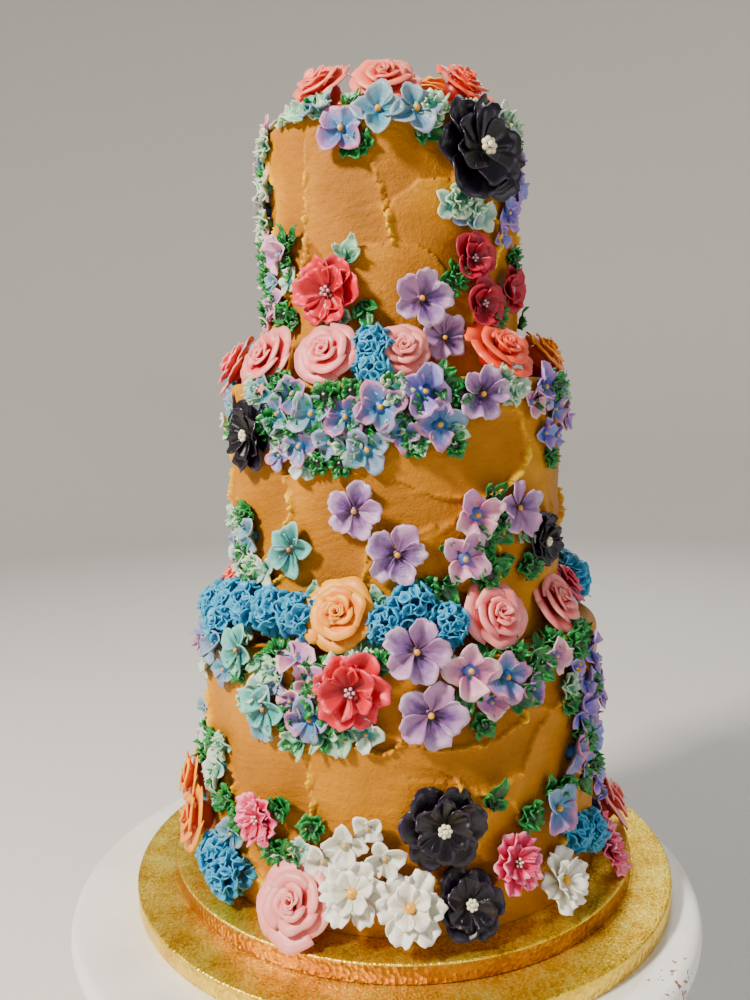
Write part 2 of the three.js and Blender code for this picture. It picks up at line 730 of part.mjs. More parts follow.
// Leaves fused to a tier's side: [az, z, length, direction], where 0 points right and 90 up.
const LEAVES = {
  top: [
    [-15, 430, 12, -60],
    [-41, 455, 13, 190],
    [15, 438, 14, -30],
    [-50, 388, 13, 70],
    [-49, 372, 12, -80],
    [-17, 378, 15, 70],
    [-10, 341, 14, -60],
    [24, 357, 12, 40],
  ],
  mid: [
    [-37, 301, 13, -70],
    [-36, 270, 12, 230],
    [0, 300, 13, 20],
    [15, 300, 14, -20],
    [31, 240, 12, 40],
    [31, 216, 13, -40],
    [29, 199, 15, 20],
    [15, 187, 14, -60],
    [-53, 229, 12, 90],
  ],
  low: [
    [-20, 148, 14, 20],
    [-35, 146, 14, -80],
    [16, 134, 13, -90],
    [36, 148, 17, 10],
    [31, 129, 14, -20],
    [-27, 106, 13, 210],
    [-17, 110, 14, -60],
    [-67, 70, 12, 60],
    [-30, 70, 15, 40],
    [-28, 42, 15, 80],
    [23, 78, 15, 60],
    [56, 64, 14, -60],
  ],
};

function meshOf(name, geometry, material) {
  const mesh = new THREE.Mesh(geometry, new THREE.MeshStandardMaterial(MATERIALS[material]));
  mesh.name = name;
  return mesh;
}

// The stand and its boards
const object = new THREE.Group();
object.add(meshOf("stand", standForm(), "stand"));

const boards = new THREE.Group();
boards.position.set(CAKE_OFFSET[0], CAKE_OFFSET[1], STAND_HEIGHT);
boards.add(meshOf("board_large", boardForm(LARGE_BOARD_RADIUS), "board"));
const smallBoard = meshOf("board_small", boardForm(SMALL_BOARD_RADIUS), "board");
smallBoard.position.z = BOARD_THICKNESS;
boards.add(smallBoard);
object.add(boards);

const cake = new THREE.Group();
cake.position.set(CAKE_OFFSET[0], CAKE_OFFSET[1], CAKE_BASE);
object.add(cake);

// What the flowers are cut back from: the tiers and the small board, each with the gap round it.
const skins = Object.fromEntries(Object.keys(TIERS).map((key) => [key, tierSkin(key)]));
const boardSkin = solidOf(boardForm(SMALL_BOARD_RADIUS + GAP).translate(0, 0, GAP - BOARD_THICKNESS));
const taken = [...Object.values(skins), boardSkin];

// A flower's mesh is made in its own frame and placed by its position and rotation.
for (const bloom of SINGLES) {
  const place = placed(bloom);
  const clear = largest(cutBack(bloomSolid(bloom), taken));
  const color = bloom.color ?? COLOR_OF[bloom.kind];
  const mesh = meshOf(bloom.name, geometryOf(moved(clear, place.clone().invert())), color);
  place.decompose(mesh.position, mesh.quaternion, mesh.scale);
  cake.add(mesh);
  taken.push(bloomEnvelope(bloom));
}

for (const group of GROUPS) {
  const clear = largest(cutBack(joined(group.blooms.map(bloomSolid)), taken));
  cake.add(meshOf(group.name, geometryOf(clear), group.color));
  taken.push(...group.blooms.map(bloomEnvelope));
}

// A tier with its small blossoms and leaves fused to it.
const PRESSED_IN = 0.5; // a topping's back lies this far inside the tier's radius
function dressedTier(key) {
  const out = TIERS[key].radius - PRESSED_IN;
  const topping = (kind) => ([az, z, size, turn]) => bloomSolid({ kind, out, az, z, size, turn });
  const blossoms = SMALL_BLOSSOMS[key].map(topping("blossom"));
  const leaves = LEAVES[key].map(topping("leaf"));
  const others = taken.filter((other) => other !== skins[key]);
  const toppings = cutBack(joined([...blossoms, ...leaves]), others);
  return largest(solidOf(tierForm(key)).add(toppings));
}

for (const key of Object.keys(TIERS)) {
  cake.add(meshOf(`tier_${key}`, geometryOf(dressedTier(key)), "icing"));
}

export default object;
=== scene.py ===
# A three-tier buttercream wedding cake with piped flowers, on two gold boards and a white pedestal stand.
# Places on the cake are in millimetres and degrees. Blender's own unit is the metre.
import random
from math import cos, exp, hypot, pi, radians, sin, tau

import bmesh
import bpy
from mathutils import Matrix, Vector, noise
from mathutils.geometry import interpolate_bezier


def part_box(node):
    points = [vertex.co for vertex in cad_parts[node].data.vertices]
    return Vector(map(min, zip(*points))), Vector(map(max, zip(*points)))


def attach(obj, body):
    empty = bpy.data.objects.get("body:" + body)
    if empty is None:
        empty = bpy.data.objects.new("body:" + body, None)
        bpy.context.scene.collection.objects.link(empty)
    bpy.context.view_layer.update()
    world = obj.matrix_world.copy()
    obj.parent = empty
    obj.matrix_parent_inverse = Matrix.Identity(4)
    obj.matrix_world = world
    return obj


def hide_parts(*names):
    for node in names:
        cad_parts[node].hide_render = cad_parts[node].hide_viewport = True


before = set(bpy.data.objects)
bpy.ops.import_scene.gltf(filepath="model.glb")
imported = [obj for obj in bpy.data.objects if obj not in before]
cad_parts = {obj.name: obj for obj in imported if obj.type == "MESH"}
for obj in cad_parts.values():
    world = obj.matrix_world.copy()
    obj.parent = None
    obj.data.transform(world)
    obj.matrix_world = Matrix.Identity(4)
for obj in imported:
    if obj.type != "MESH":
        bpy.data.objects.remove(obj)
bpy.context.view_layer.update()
MM = 0.001

# The camera
# It stands half a metre in front of the cake, level with the middle tier, and looks a little down.
CAMERA_PLACE = (0.012, -0.5625, 0.4126)
LOOKS_DOWN = 6.07
TURNED_LEFT = 1.43
ROLLED = -1.09

lens = bpy.data.cameras.new("camera")
lens.sensor_fit = "VERTICAL"
lens.sensor_height = 36
lens.lens = 31.2
camera = bpy.data.objects.new("camera", lens)
camera.matrix_world = (
    Matrix.Translation(CAMERA_PLACE)
    @ Matrix.Rotation(radians(TURNED_LEFT), 4, "Z")
    @ Matrix.Rotation(radians(90 - LOOKS_DOWN), 4, "X")
    @ Matrix.Rotation(radians(ROLLED), 4, "Z")
)
bpy.context.collection.objects.link(camera)
bpy.context.scene.camera = camera


# The studio
# A sheet of pale matt card lies under the stand and curves up all round it into a backdrop.
# Two soft lamps and a dim sky light it, the key lamp from the upper left.
def linear(color):
    """A colour such as "#d98a1c" as the linear values that a shader takes."""
    values = []
    for start in (1, 3, 5):
        share = int(color[start : start + 2], 16) / 255
        values.append(share / 12.92 if share <= 0.04045 else ((share + 0.055) / 1.055) ** 2.4)
    return (*values, 1)


def material(name):
    """A new material with no nodes."""
    made = bpy.data.materials.new(name)
    made.use_nodes = True
    made.node_tree.nodes.clear()
    return made


def add(made, kind, inputs, stops=(), **settings):
    """Adds a shader node whose inputs are values, or nodes or sockets to link. Stops fill a ramp."""
    new = made.node_tree.nodes.new("ShaderNode" + kind)
    for name, value in settings.items():
        setattr(new, name, value)
    for socket, value in inputs.items():
        if isinstance(value, bpy.types.Node):
            value = value.outputs[0]
        if isinstance(value, bpy.types.NodeSocket):
            made.node_tree.links.new(value, new.inputs[socket])
        else:
            new.inputs[socket].default_value = value
    for number, (position, color) in enumerate(stops):
        elements = new.color_ramp.elements
        stop = elements[number] if number < 2 else elements.new(1)
        stop.position = position
        stop.color = linear(color)
    return new


def surface(made, inputs):
    """The material's own shader, linked to its output."""
    shader = add(made, "BsdfPrincipled", inputs)
    add(made, "OutputMaterial", {"Surface": shader})


def turned(profile, steps):
    """A mesh turned on the Z axis from a profile of (radius, height)."""
    mesh = bmesh.new()
    points = [mesh.verts.new((radius, 0, height)) for radius, height in profile]
    edges = [mesh.edges.new(pair) for pair in zip(points, points[1:])]
    axis = (0, 0, 1)
    bmesh.ops.spin(
        mesh, geom=points + edges, axis=axis, cent=(0, 0, 0), angle=tau, steps=steps, use_merge=True
    )
    bmesh.ops.remove_doubles(mesh, verts=mesh.verts, dist=1e-6)
    return mesh


def thing(name, mesh, materials):
    """A smooth object from a finished mesh."""
    bmesh.ops.recalc_face_normals(mesh, faces=mesh.faces)
    for face in mesh.faces:
        face.smooth = True
    data = bpy.data.meshes.new(name)
    mesh.to_mesh(data)
    mesh.free()
    for each in materials:
        data.materials.append(each)
    made = bpy.data.objects.new(name, data)
    bpy.context.collection.objects.link(made)
    return made


# Matt card has a faint tooth and no shine.
card = material("pale matt card")
card_place = add(card, "TexCoord", {})
card_tooth = add(card, "TexNoise", {"Vector": card_place.outputs["Object"], "Scale": 240})
card_shade = add(card, "ValToRGB", {"Fac": card_tooth}, stops=[(0.3, "#d9d7d3"), (0.7, "#dedcd8")])
surface(card, {"Base Color": card_shade, "Roughness": 0.9})

FLAT_TO = 2.2
BACKDROP_RADIUS = 3.0
BACKDROP_HEIGHT = 2.8
bend = BACKDROP_RADIUS - FLAT_TO
sweep = [(0, 0), (FLAT_TO, 0)]
for degrees in range(10, 91, 10):
    sweep.append((FLAT_TO + bend * sin(radians(degrees)), bend * (1 - cos(radians(degrees)))))
sweep.append((BACKDROP_RADIUS, BACKDROP_HEIGHT))
thing("studio_sweep", turned(sweep, 64), [card])

MIDDLE_OF_CAKE = Vector((0.0, 0.0, 0.34))


def lamp(name, place, size, power, color):
    """A square soft lamp that faces the middle of the cake."""
    data = bpy.data.lights.new(name, "AREA")
    data.size = size
    data.energy = power
    data.color = linear(color)[:3]
    made = bpy.data.objects.new(name, data)
    facing = (MIDDLE_OF_CAKE - Vector(place)).to_track_quat("-Z", "Y").to_matrix().to_4x4()
    made.matrix_world = Matrix.Translation(place) @ facing
    bpy.context.collection.objects.link(made)


lamp("key_lamp", (-1.05, -0.85, 1.45), 0.25, 72, "#fff4e4")
lamp("fill_lamp", (1.5, -1.0, 0.7), 1.2, 7, "#eef3ff")
lamp("back_lamp", (0.4, 1.5, 1.6), 0.9, 14, "#ffffff")

sky = bpy.data.worlds.new("studio sky")
sky.use_nodes = True
sky.node_tree.nodes["Background"].inputs["Color"].default_value = linear("#f2f4f8")
sky.node_tree.nodes["Background"].inputs["Strength"].default_value = 0.26
bpy.context.scene.world = sky


# The stand
# A white pedestal: a flat round plate on a waisted stem that sweeps out to a round foot.
# It is painted metal, and the paint has chipped to rust at a few places on the plate's rim.
def piece(name, mesh, materials, nodes=()):
    """A piece of the cake: it rides on the cake's one body and stands for the nodes."""
    made = thing(name, mesh, materials)
    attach(made, "root")
    if nodes:
        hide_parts(*nodes)
    return made


def curve(start, leaving, arriving, end, points):
    """Points along a smooth sweep between two places, without its last one."""
    flat = [Vector((*place, 0)) for place in (start, leaving, arriving, end)]
    return [(point.x, point.y) for point in interpolate_bezier(*flat, points)][:-1]


stand_low, stand_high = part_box("stand")
PLATE_RADIUS = (stand_high.x - stand_low.x) / 2
PLATE_TOP = stand_high.z
PLATE_THICKNESS = 0.014
FOOT_RADIUS = 0.095
FOOT_EDGE = 0.006
WAIST_RADIUS = 0.024
WAIST_HEIGHT = 0.052
NECK_RADIUS = 0.0456
RIM = 0.006
underside = PLATE_TOP - PLATE_THICKNESS
rim_middle = underside + PLATE_THICKNESS / 2
stand_profile = [(0, 0), (FOOT_RADIUS - 0.002, 0), (FOOT_RADIUS, 0.002)]
stand_profile += curve(
    (FOOT_RADIUS, FOOT_EDGE), (0.066, 0.011), (WAIST_RADIUS, 0.03), (WAIST_RADIUS, WAIST_HEIGHT), 20
)
stand_profile += curve(
    (WAIST_RADIUS, WAIST_HEIGHT), (WAIST_RADIUS, 0.07), (0.036, underside), (NECK_RADIUS, underside), 14
)
stand_profile += [(NECK_RADIUS, underside), (PLATE_RADIUS - 0.03, underside)]
stand_profile += curve(
    (PLATE_RADIUS - RIM, underside),
    (PLATE_RADIUS - 0.002, underside),
    (PLATE_RADIUS, underside + 0.002),
    (PLATE_RADIUS, rim_middle),
    6,
)
stand_profile += curve(
    (PLATE_RADIUS, rim_middle),
    (PLATE_RADIUS, PLATE_TOP - 0.002),
    (PLATE_RADIUS - 0.002, PLATE_TOP),
    (PLATE_RADIUS - RIM, PLATE_TOP),
    6,
)
stand_profile += [(PLATE_RADIUS - RIM, PLATE_TOP), (PLATE_RADIUS - 0.02, PLATE_TOP), (0, PLATE_TOP)]

# Old enamel paint: warm white with a soft shine, faintly clouded, and rust where chips have come away.
paint = material("chipped white enamel paint")
paint_place = add(paint, "TexCoord", {}).outputs["Object"]
paint_cloud = add(paint, "TexNoise", {"Vector": paint_place, "Scale": 18, "Detail": 4})
paint_white = add(paint, "ValToRGB", {"Fac": paint_cloud}, stops=[(0.35, "#e9e7e1"), (0.65, "#f6f5f1")])
CHIPS_AT = (0.165, -0.12, 0.094)
chips_near = add(paint, "VectorMath", {0: paint_place, 1: CHIPS_AT}, operation="DISTANCE")
chips_edge = add(paint, "TexNoise", {"Vector": paint_place, "Scale": 260, "Detail": 3})
chips_here = add(
    paint,
    "MapRange",
    {"Value": chips_near.outputs["Value"], "From Min": 0.0, "From Max": 0.05, "To Min": 0.2, "To Max": -0.1},
)
chips_sum = add(paint, "Math", {0: chips_edge, 1: chips_here}, operation="ADD")
chips = add(paint, "Math", {0: chips_sum, 1: 0.73}, operation="GREATER_THAN")
rust = add(paint, "MixRGB", {"Fac": chips, "Color1": paint_white, "Color2": linear("#8a5a3a")})
paint_skin = add(paint, "Bump", {"Strength": 0.12, "Distance": 0.0006, "Height": paint_cloud})
surface(paint, {"Base Color": rust, "Roughness": 0.32, "Coat Weight": 0.25, "Normal": paint_skin})

piece("stand_painted", turned(stand_profile, 128), [paint], ["stand"])


# The boards
# Two cake boards of thick card wrapped in embossed gold foil, the smaller one glued on the larger.
# The foil on top has fine pebbling, and pleats where it is drawn over the rim.
def foil(name, stops, pebble_size, pleats, gloss):
    """Gold foil: bright metal with painted glints, a brightness of gold for each pebble of its fine embossing,
    and pleats towards the rim.
    """
    made = material(name)
    place = add(made, "TexCoord", {}).outputs["Object"]
    centre = add(made, "VectorMath", {0: place, 1: BOARD_CENTRE}, operation="SUBTRACT")
    flat = add(made, "VectorMath", {0: centre, 1: (1, 1, 0)}, operation="MULTIPLY")
    around = add(made, "VectorMath", {0: flat}, operation="NORMALIZE")
    reach = add(made, "VectorMath", {0: flat}, operation="LENGTH").outputs["Value"]
    cloud = add(made, "TexNoise", {"Vector": place, "Scale": 45, "Detail": 5})
    pebbles = add(made, "TexVoronoi", {"Vector": place, "Scale": 1 / pebble_size})
    # Painted glints: each pebble of the embossing, with a soft cloud, picks its own brightness of gold, up to
    # near white.
    painted_glints = add(made, "Math", {0: pebbles.outputs["Color"], 1: 0.5, 2: cloud}, operation="MULTIPLY_ADD")
    gold = add(made, "ValToRGB", {"Fac": painted_glints}, stops=stops)
    pleat = add(made, "TexNoise", {"Vector": around, "Scale": 34, "Detail": 2})
    rim = {"Value": reach, "From Min": BOARD_RADIUS * 0.8, "From Max": BOARD_RADIUS, "To Max": pleats}
    near_rim = add(made, "MapRange", rim)
    drawn = add(made, "Math", {0: pleat, 1: near_rim}, operation="MULTIPLY")
    height = add(made, "Math", {0: drawn, 1: pebbles}, operation="ADD")
    bump = add(made, "Bump", {"Strength": 0.7, "Distance": pebble_size * 0.4, "Height": height})
    surface(made, {"Base Color": gold, "Metallic": 0.9, "Roughness": gloss, "Normal": bump})
    return made


large_low, large_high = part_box("board_large")
small_low, small_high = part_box("board_small")
BOARD_RADIUS = (large_high.x - large_low.x) / 2
BOARD_CENTRE = (large_low + large_high) / 2
BOARD_BEVEL = 0.001


def board(low, high):
    """A board that fills its solid, with its edges a little rounded and the top's foil carried over its upper
    edge.
    """
    radius = (high.x - low.x) / 2
    profile = [(0, low.z), (radius - BOARD_BEVEL, low.z), (radius, low.z + BOARD_BEVEL)]
    profile += [(radius, (low.z + high.z) / 2), (radius, high.z - BOARD_BEVEL)]
    profile += curve(
        (radius, high.z - BOARD_BEVEL),
        (radius, high.z - BOARD_BEVEL / 2),
        (radius - BOARD_BEVEL / 2, high.z),
        (radius - BOARD_BEVEL, high.z),
        4,
    )
    profile += [(radius - BOARD_BEVEL, high.z), (radius - 0.006, high.z), (0, high.z)]
    mesh = turned(profile, 160)
    centre = (low + high) / 2
    bmesh.ops.translate(mesh, verts=mesh.verts, vec=(centre.x, centre.y, 0))
    for face in mesh.faces:
        face.material_index = 0 if face.calc_center_median().z > high.z - BOARD_BEVEL else 1
    return mesh


top_gold = [(0.35, "#a47a00"), (0.7, "#efbe00"), (1.0, "#fff06a")]
top_foil = foil("embossed gold foil", top_gold, 0.0013, 2.0, 0.42)
bright_side = foil("bright gold foil edge", [(0.35, "#dca400"), (1.0, "#ffe04a")], 0.003, 0.0, 0.34)
warm_side = foil("orange-gold foil edge", [(0.35, "#a06400"), (1.0, "#d48c08")], 0.003, 0.0, 0.34)
piece("board_large_foil", board(large_low, large_high), [top_foil, bright_side], ["board_large"])
piece("board_small_foil", board(small_low, small_high), [top_foil, warm_side], ["board_small"])

# The tiers
# Three round sponges of 6 inches' height, each coated in amber buttercream with a palette knife.
# Each swipe presses a shallow hollow and pushes up a torn lip, and a later swipe wipes out those under it.
CAKE_BASE = Vector((BOARD_CENTRE.x, BOARD_CENTRE.y, small_high.z))
TIER_HEIGHT = 152.4
TIERS = {
    "low": {"radius": 130.0, "floor": 0.0, "seed": 11},
    "mid": {"radius": 107.6, "floor": TIER_HEIGHT, "seed": 23},
    "top": {"radius": 80.1, "floor": 2 * TIER_HEIGHT, "seed": 37},
}
# The swipes that show in front: az and z of the middle, half its width and height, and its turn.
FRONT_SWIPES = {
    "low": [
        (-10, 62, 62, 34, -4),
        (-34, 84, 26, 44, 8),
        (25, 104, 40, 22, 10),
        (42, 74, 26, 44, -14),
        (12, 128, 46, 20, -6),
    ],
    "mid": [
        (-22, 222, 24, 52, 6),
        (4, 246, 34, 28, -12),
        (20, 262, 44, 24, 6),
        (14, 196, 30, 30, 24),
        (-48, 240, 24, 34, 10),
    ],
    "top": [
        (2, 420, 34, 26, -8),
        (24, 388, 36, 26, -12),
        (-20, 398, 26, 40, 14),
        (-50, 410, 18, 50, 0),
        (4, 350, 44, 26, -20),
    ],
}


def back_swipes(tier):
    """Swipes that carry on round the back, by the same rule and draws as the solids'."""
    state = tier["seed"]

    def draw():
        nonlocal state
        state = state * 16807 % 2147483647
        return state / 2147483647

    swipes = []
    for az in range(75, 290, 24):
        for level in (0.3, 0.7):
            place = az + 12 * draw()
            height = tier["floor"] + TIER_HEIGHT * (level + 0.16 * (draw() - 0.5))
            wide = 24 + 18 * draw()
            tall = 22 + 14 * draw()
            swipes.append((place, height, wide, tall, 36 * (draw() - 0.5)))
    return swipes


def under_swipes(tier):
    """Smaller swipes all round, which show between the main ones."""
    chance = random.Random(tier["seed"])
    swipes = []
    for az in range(0, 360, 15):
        place = az + chance.uniform(-6, 6)
        height = tier["floor"] + TIER_HEIGHT * chance.uniform(0.1, 0.9)
        swipes.append((place, height, chance.uniform(14, 30), chance.uniform(10, 22), chance.uniform(-40, 40)))
    return swipes


SWIPE_DEPTH = 2.8
LIP = 5.0
LIP_REACH = 1.16
MOST_RAISED = 4.0


def relief(swipes, radius, az, z):
    """How far the buttercream stands out there, in millimetres, with torn lips and the knife's drag marks."""
    spot = Vector((radius * sin(radians(az)), radius * cos(radians(az)), z))
    sway = 6 * noise.noise(spot / 24)
    bite = 3.2 * noise.noise(spot / 7) + 1.6 * noise.noise(spot / 2.6)
    torn = max(0.0, 0.7 + 1.1 * noise.noise(spot / 8) + 0.9 * noise.noise(spot / 2.0))
    height = 0.6 * noise.noise(spot / 30)
    for swipe_az, swipe_z, wide, tall, cosine, sine in swipes:
        around = radians((az - swipe_az + 540) % 360 - 180) * radius
        above = z - swipe_z
        if max(abs(around), abs(above)) > 1.3 * max(wide, tall) + 8:
            continue
        across = (around + sway) * cosine + (above + sway) * sine
        along = (above + sway) * cosine - (around + sway) * sine
        reach = hypot(across / wide, along / tall) + bite / (wide + tall)
        heavy = 0.6 + 0.5 * across / wide - 0.5 * along / tall
        if reach < 1:
            height = -SWIPE_DEPTH * max(0.1, heavy) * (1 - max(0.0, reach) ** 2) ** 0.3
            height += 0.35 * noise.noise(Vector((across / 30, along / 1.7, swipe_az)))
        elif reach < LIP_REACH and heavy > 0.6:
            height += LIP * torn * min(1.0, heavy - 0.4) * (LIP_REACH - reach) / (LIP_REACH - 1)
    return min(height, MOST_RAISED)


EDGE = 5.0
FINE = 1.15  # width of a face on the front, in millimetres
COARSE = 2.3  # width of a face at the back
FRONT = 105.0  # the fine part reaches this many degrees to each side


def tier_mesh(tier):
    """A sheet rolled round the tier: in under it, up its side, over its rounded edge and in over its top."""
    radius = tier["radius"]
    floor = tier["floor"]
    swipes = [
        (az, z, wide, tall, cos(radians(turn)), sin(radians(turn)))
        for az, z, wide, tall, turn in under_swipes(tier) + back_swipes(tier) + FRONT_SWIPES[tier["key"]]
    ]
    side_rows = round((TIER_HEIGHT - EDGE) / FINE)
    path = [(0.0, 0.0)]
    path += [(radius, (TIER_HEIGHT - EDGE) * row / side_rows) for row in range(side_rows + 1)]
    for degrees in range(15, 91, 15):
        turn = radians(degrees)
        path.append((radius - EDGE * (1 - cos(turn)), TIER_HEIGHT - EDGE + EDGE * sin(turn)))
    inward = 14
    path += [((radius - EDGE) * (1 - step / inward), TIER_HEIGHT) for step in range(1, inward + 1)]
    front_columns = round(radians(2 * FRONT) * radius / FINE)
    back_columns = round(radians(360 - 2 * FRONT) * radius / COARSE)
    columns = front_columns + back_columns
    mesh = bmesh.new()
    relief_shade_layer = mesh.verts.layers.float_vector.new("petal")
    bmesh.ops.create_grid(mesh, x_segments=columns, y_segments=len(path) - 1, size=0.5)
    for point in mesh.verts:
        column = (point.co.x + 0.5) * columns
        if column < front_columns:
            az = -FRONT + 2 * FRONT * column / front_columns
        else:
            az = FRONT + (360 - 2 * FRONT) * (column - front_columns) / back_columns
        reach, z = path[round((point.co.y + 0.5) * (len(path) - 1))]
        out = relief(swipes, radius, az % 360, floor + z) if reach > radius - EDGE else 0.3
        if reach > 0:
            reach += out * min(1.0, z / 4, max(0.0, reach - radius + EDGE) / EDGE)
        angle = radians(az - 90)
        point.co = CAKE_BASE + MM * Vector((reach * cos(angle), reach * sin(angle), floor + z))
        # This layer carries painted shade and light: the icing is coloured darker where the relief sinks and
        # lighter where it stands out.
        point[relief_shade_layer] = (0, 0.52 + out / 8, 0)
    bmesh.ops.remove_doubles(mesh, verts=mesh.verts, dist=2e-5)
    return mesh


# Buttercream is a soft satin fat, with painted light making it yellow on the ridges and painted shade making it
# deeper amber in the hollows, with fine pores and little drag marks from the knife.
amber = material("amber buttercream")
amber_place = add(amber, "TexCoord", {}).outputs["Object"]
# The relief's painted shade and light, shifted by a random cloud of tone, picks the amber from the ramp.
amber_relief_shade = add(amber, "Attribute", {}, attribute_name="petal")
amber_split = add(amber, "SeparateXYZ", {0: amber_relief_shade.outputs["Vector"]})
amber_cloud = add(amber, "TexNoise", {"Vector": amber_place, "Scale": 22, "Detail": 5})
amber_shift = add(amber, "Math", {0: amber_cloud, 1: -0.5}, operation="ADD")
amber_tone_and_relief_shade = add(amber, "Math", {0: amber_shift, 1: amber_split.outputs["Y"]}, operation="ADD")
amber_color = add(
    amber,
    "ValToRGB",
    {"Fac": amber_tone_and_relief_shade},
    stops=[(0.1, "#985e00"), (0.4, "#b47200"), (0.58, "#c68200"), (0.8, "#e8a800"), (1.0, "#fccc20")],
)
specks = add(amber, "TexNoise", {"Vector": amber_place, "Scale": 330, "Detail": 2})
speck_here = add(
    amber, "MapRange", {"Value": specks, "From Min": 0.66, "From Max": 0.74, "To Min": 0.0, "To Max": 0.55}
)
amber_speckled = add(
    amber, "MixRGB", {"Fac": speck_here.outputs[0], "Color1": amber_color, "Color2": linear("#96520a")}
)
pores = add(amber, "TexNoise", {"Vector": amber_place, "Scale": 800, "Detail": 3})
drags = add(amber, "TexNoise", {"Vector": amber_place, "Scale": 150, "Detail": 7, "Roughness": 0.7})
grain = add(amber, "Math", {0: pores, 1: 0.3, 2: drags}, operation="MULTIPLY_ADD")
amber_bump = add(amber, "Bump", {"Strength": 0.9, "Distance": 0.0016, "Height": grain})
amber_gloss = add(
    amber, "MapRange", {"Value": drags, "From Min": 0.3, "From Max": 0.7, "To Min": 0.36, "To Max": 0.56}
)
surface(
    amber,
    {
        "Base Color": amber_speckled,
        "Roughness": amber_gloss,
        "Specular IOR Level": 0.2,
        "Normal": amber_bump,
        "Subsurface Weight": 0.05,
        "Subsurface Radius": (1.0, 0.8, 0.2),
        "Subsurface Scale": 0.0015,
    },
)

for key, tier in TIERS.items():
    tier["key"] = key
    piece(f"tier_{key}_buttercream", tier_mesh(tier), [amber], [f"tier_{key}"])


# The roses
# Each is piped on a flower nail from stiff buttercream: a mound, a tight spiral heart, then rows of petals
# that open outwards. It is set on the ledge or the board and stands on its own mound.
def placed(az, z, out, lean=0, turn=0, size=1):
    """A flower's place: az round the cake from the front, z up, out from its axis. +Z faces out."""
    return (
        Matrix.Translation(CAKE_BASE)
        @ Matrix.Rotation(radians(az), 4, "Z")
        @ Matrix.Translation((0, -out * MM, z * MM))
        @ Matrix.Rotation(radians(90 - lean), 4, "X")
        @ Matrix.Rotation(radians(turn), 4, "Z")
        @ Matrix.Scale(size * MM, 4)
    )


PETAL_THICKNESS = 0.7 * MM


def pipe(mesh, rows, places, chance):
    """Pipes flowers: each row's petals are small grids, bent to the row's shape and then given thickness."""
    layer = mesh.verts.layers.float_vector.new("petal")
    for place in places:
        for row in rows:
            for number in range(row["count"]):
                turn = tau * (number + row["shift"] + chance.uniform(-0.1, 0.1)) / row["count"]
                shape = row["bend"](turn, chance)
                tone = chance.random()
                across, along = row["grid"]
                grid = bmesh.ops.create_grid(mesh, x_segments=across, y_segments=along, size=1)
                for point in grid["verts"]:
                    u = point.co.x
                    v = (point.co.y + 1) / 2
                    point.co = place @ Vector(shape(u, v))
                    point[layer] = (u, v, tone)
    bmesh.ops.recalc_face_normals(mesh, faces=mesh.faces)
    mesh.normal_update()
    fronts = [(point, point.normal.copy()) for point in mesh.verts]
    bmesh.ops.extrude_face_region(mesh, geom=mesh.faces[:], use_keep_orig=True)
    for point, normal in fronts:
        point.co += PETAL_THICKNESS * normal


def mounds(mesh, places, wide, rise, middle):
    """The dab of buttercream under each flower."""
    for place in places:
        form = place @ Matrix.Translation((0, 0, middle)) @ Matrix.Diagonal((wide, wide, rise, 1))
        bmesh.ops.create_uvsphere(mesh, u_segments=14, v_segments=8, radius=1, matrix=form)


def beads(mesh, places, spots, radius):
    """Round dots piped in the flowers' middles, in the mesh's second material."""
    for place in places:
        for spot in spots:
            form = place @ Matrix.Translation(spot)
            made = bmesh.ops.create_icosphere(mesh, subdivisions=2, radius=radius, matrix=form)
            for face in {face for point in made["verts"] for face in point.link_faces}:
                face.material_index = 1


def petal_icing(name, stops, gloss=0.4, streak="", streak_width=0.4, streak_length=0.6, other=""):
    """Tinted buttercream on a petal. Its stops run from foot to rim, a streak may run up its middle,
    and some petals may lean towards another tint."""
    made = material(name)
    spot = add(made, "Attribute", {}, attribute_name="petal").outputs["Vector"]
    split = add(made, "SeparateXYZ", {0: spot})
    tone = split.outputs["Z"]
    own = add(made, "VectorMath", {0: spot, 1: (1.6, 2.4, 40)}, operation="MULTIPLY")
    cloud = add(made, "TexNoise", {"Vector": own, "Scale": 1.3, "Detail": 3})
    sway = {"Value": cloud, "From Min": 0.3, "From Max": 0.7, "To Min": -0.16, "To Max": 0.16}
    shift = add(made, "MapRange", sway)
    level = add(made, "Math", {0: split.outputs["Y"], 1: shift}, operation="ADD")
    color = add(made, "ValToRGB", {"Fac": level}, stops=stops)
    if other:
        leaning = add(made, "MapRange", {"Value": tone, "From Min": 0.35, "From Max": 0.9, "To Max": 0.75})
        color = add(made, "MixRGB", {"Fac": leaning, "Color1": color, "Color2": linear(other)})
    if streak:
        veins_place = add(made, "VectorMath", {0: spot, 1: (7, 1.2, 50)}, operation="MULTIPLY")
        veins = add(made, "TexNoise", {"Vector": veins_place, "Scale": 1.0, "Detail": 1})
        side = add(made, "Math", {0: split.outputs["X"]}, operation="ABSOLUTE")
        veined = add(made, "Math", {0: veins, 1: -0.9, 2: side}, operation="MULTIPLY_ADD")
        narrow = add(made, "MapRange", {"Value": veined, "From Min": streak_width - 0.45, "From Max": -0.45})
        short = add(made, "MapRange", {"Value": level, "From Min": streak_length, "From Max": 0.1})
        both = add(made, "Math", {0: narrow, 1: short}, operation="MULTIPLY")
        color = add(made, "MixRGB", {"Fac": both, "Color1": color, "Color2": linear(streak)})
    bright = add(made, "MapRange", {"Value": tone, "To Min": 0.86, "To Max": 1.06})
    varied = add(made, "HueSaturation", {"Value": bright, "Color": color})
    drawn = add(made, "VectorMath", {0: spot, 1: (1.2, 22, 60)}, operation="MULTIPLY")
    ribs = add(made, "TexNoise", {"Vector": drawn, "Scale": 1.0, "Detail": 3})
    bump = add(made, "Bump", {"Strength": 0.5, "Distance": 0.0006, "Height": ribs})
    surface(
        made,
        {
            "Base Color": varied,
            "Roughness": gloss,
            "Normal": bump,
            "Subsurface Weight": 0.15,
            "Subsurface Radius": (1.0, 0.5, 0.35),
            "Subsurface Scale": 0.0018,
        },
    )
    return made


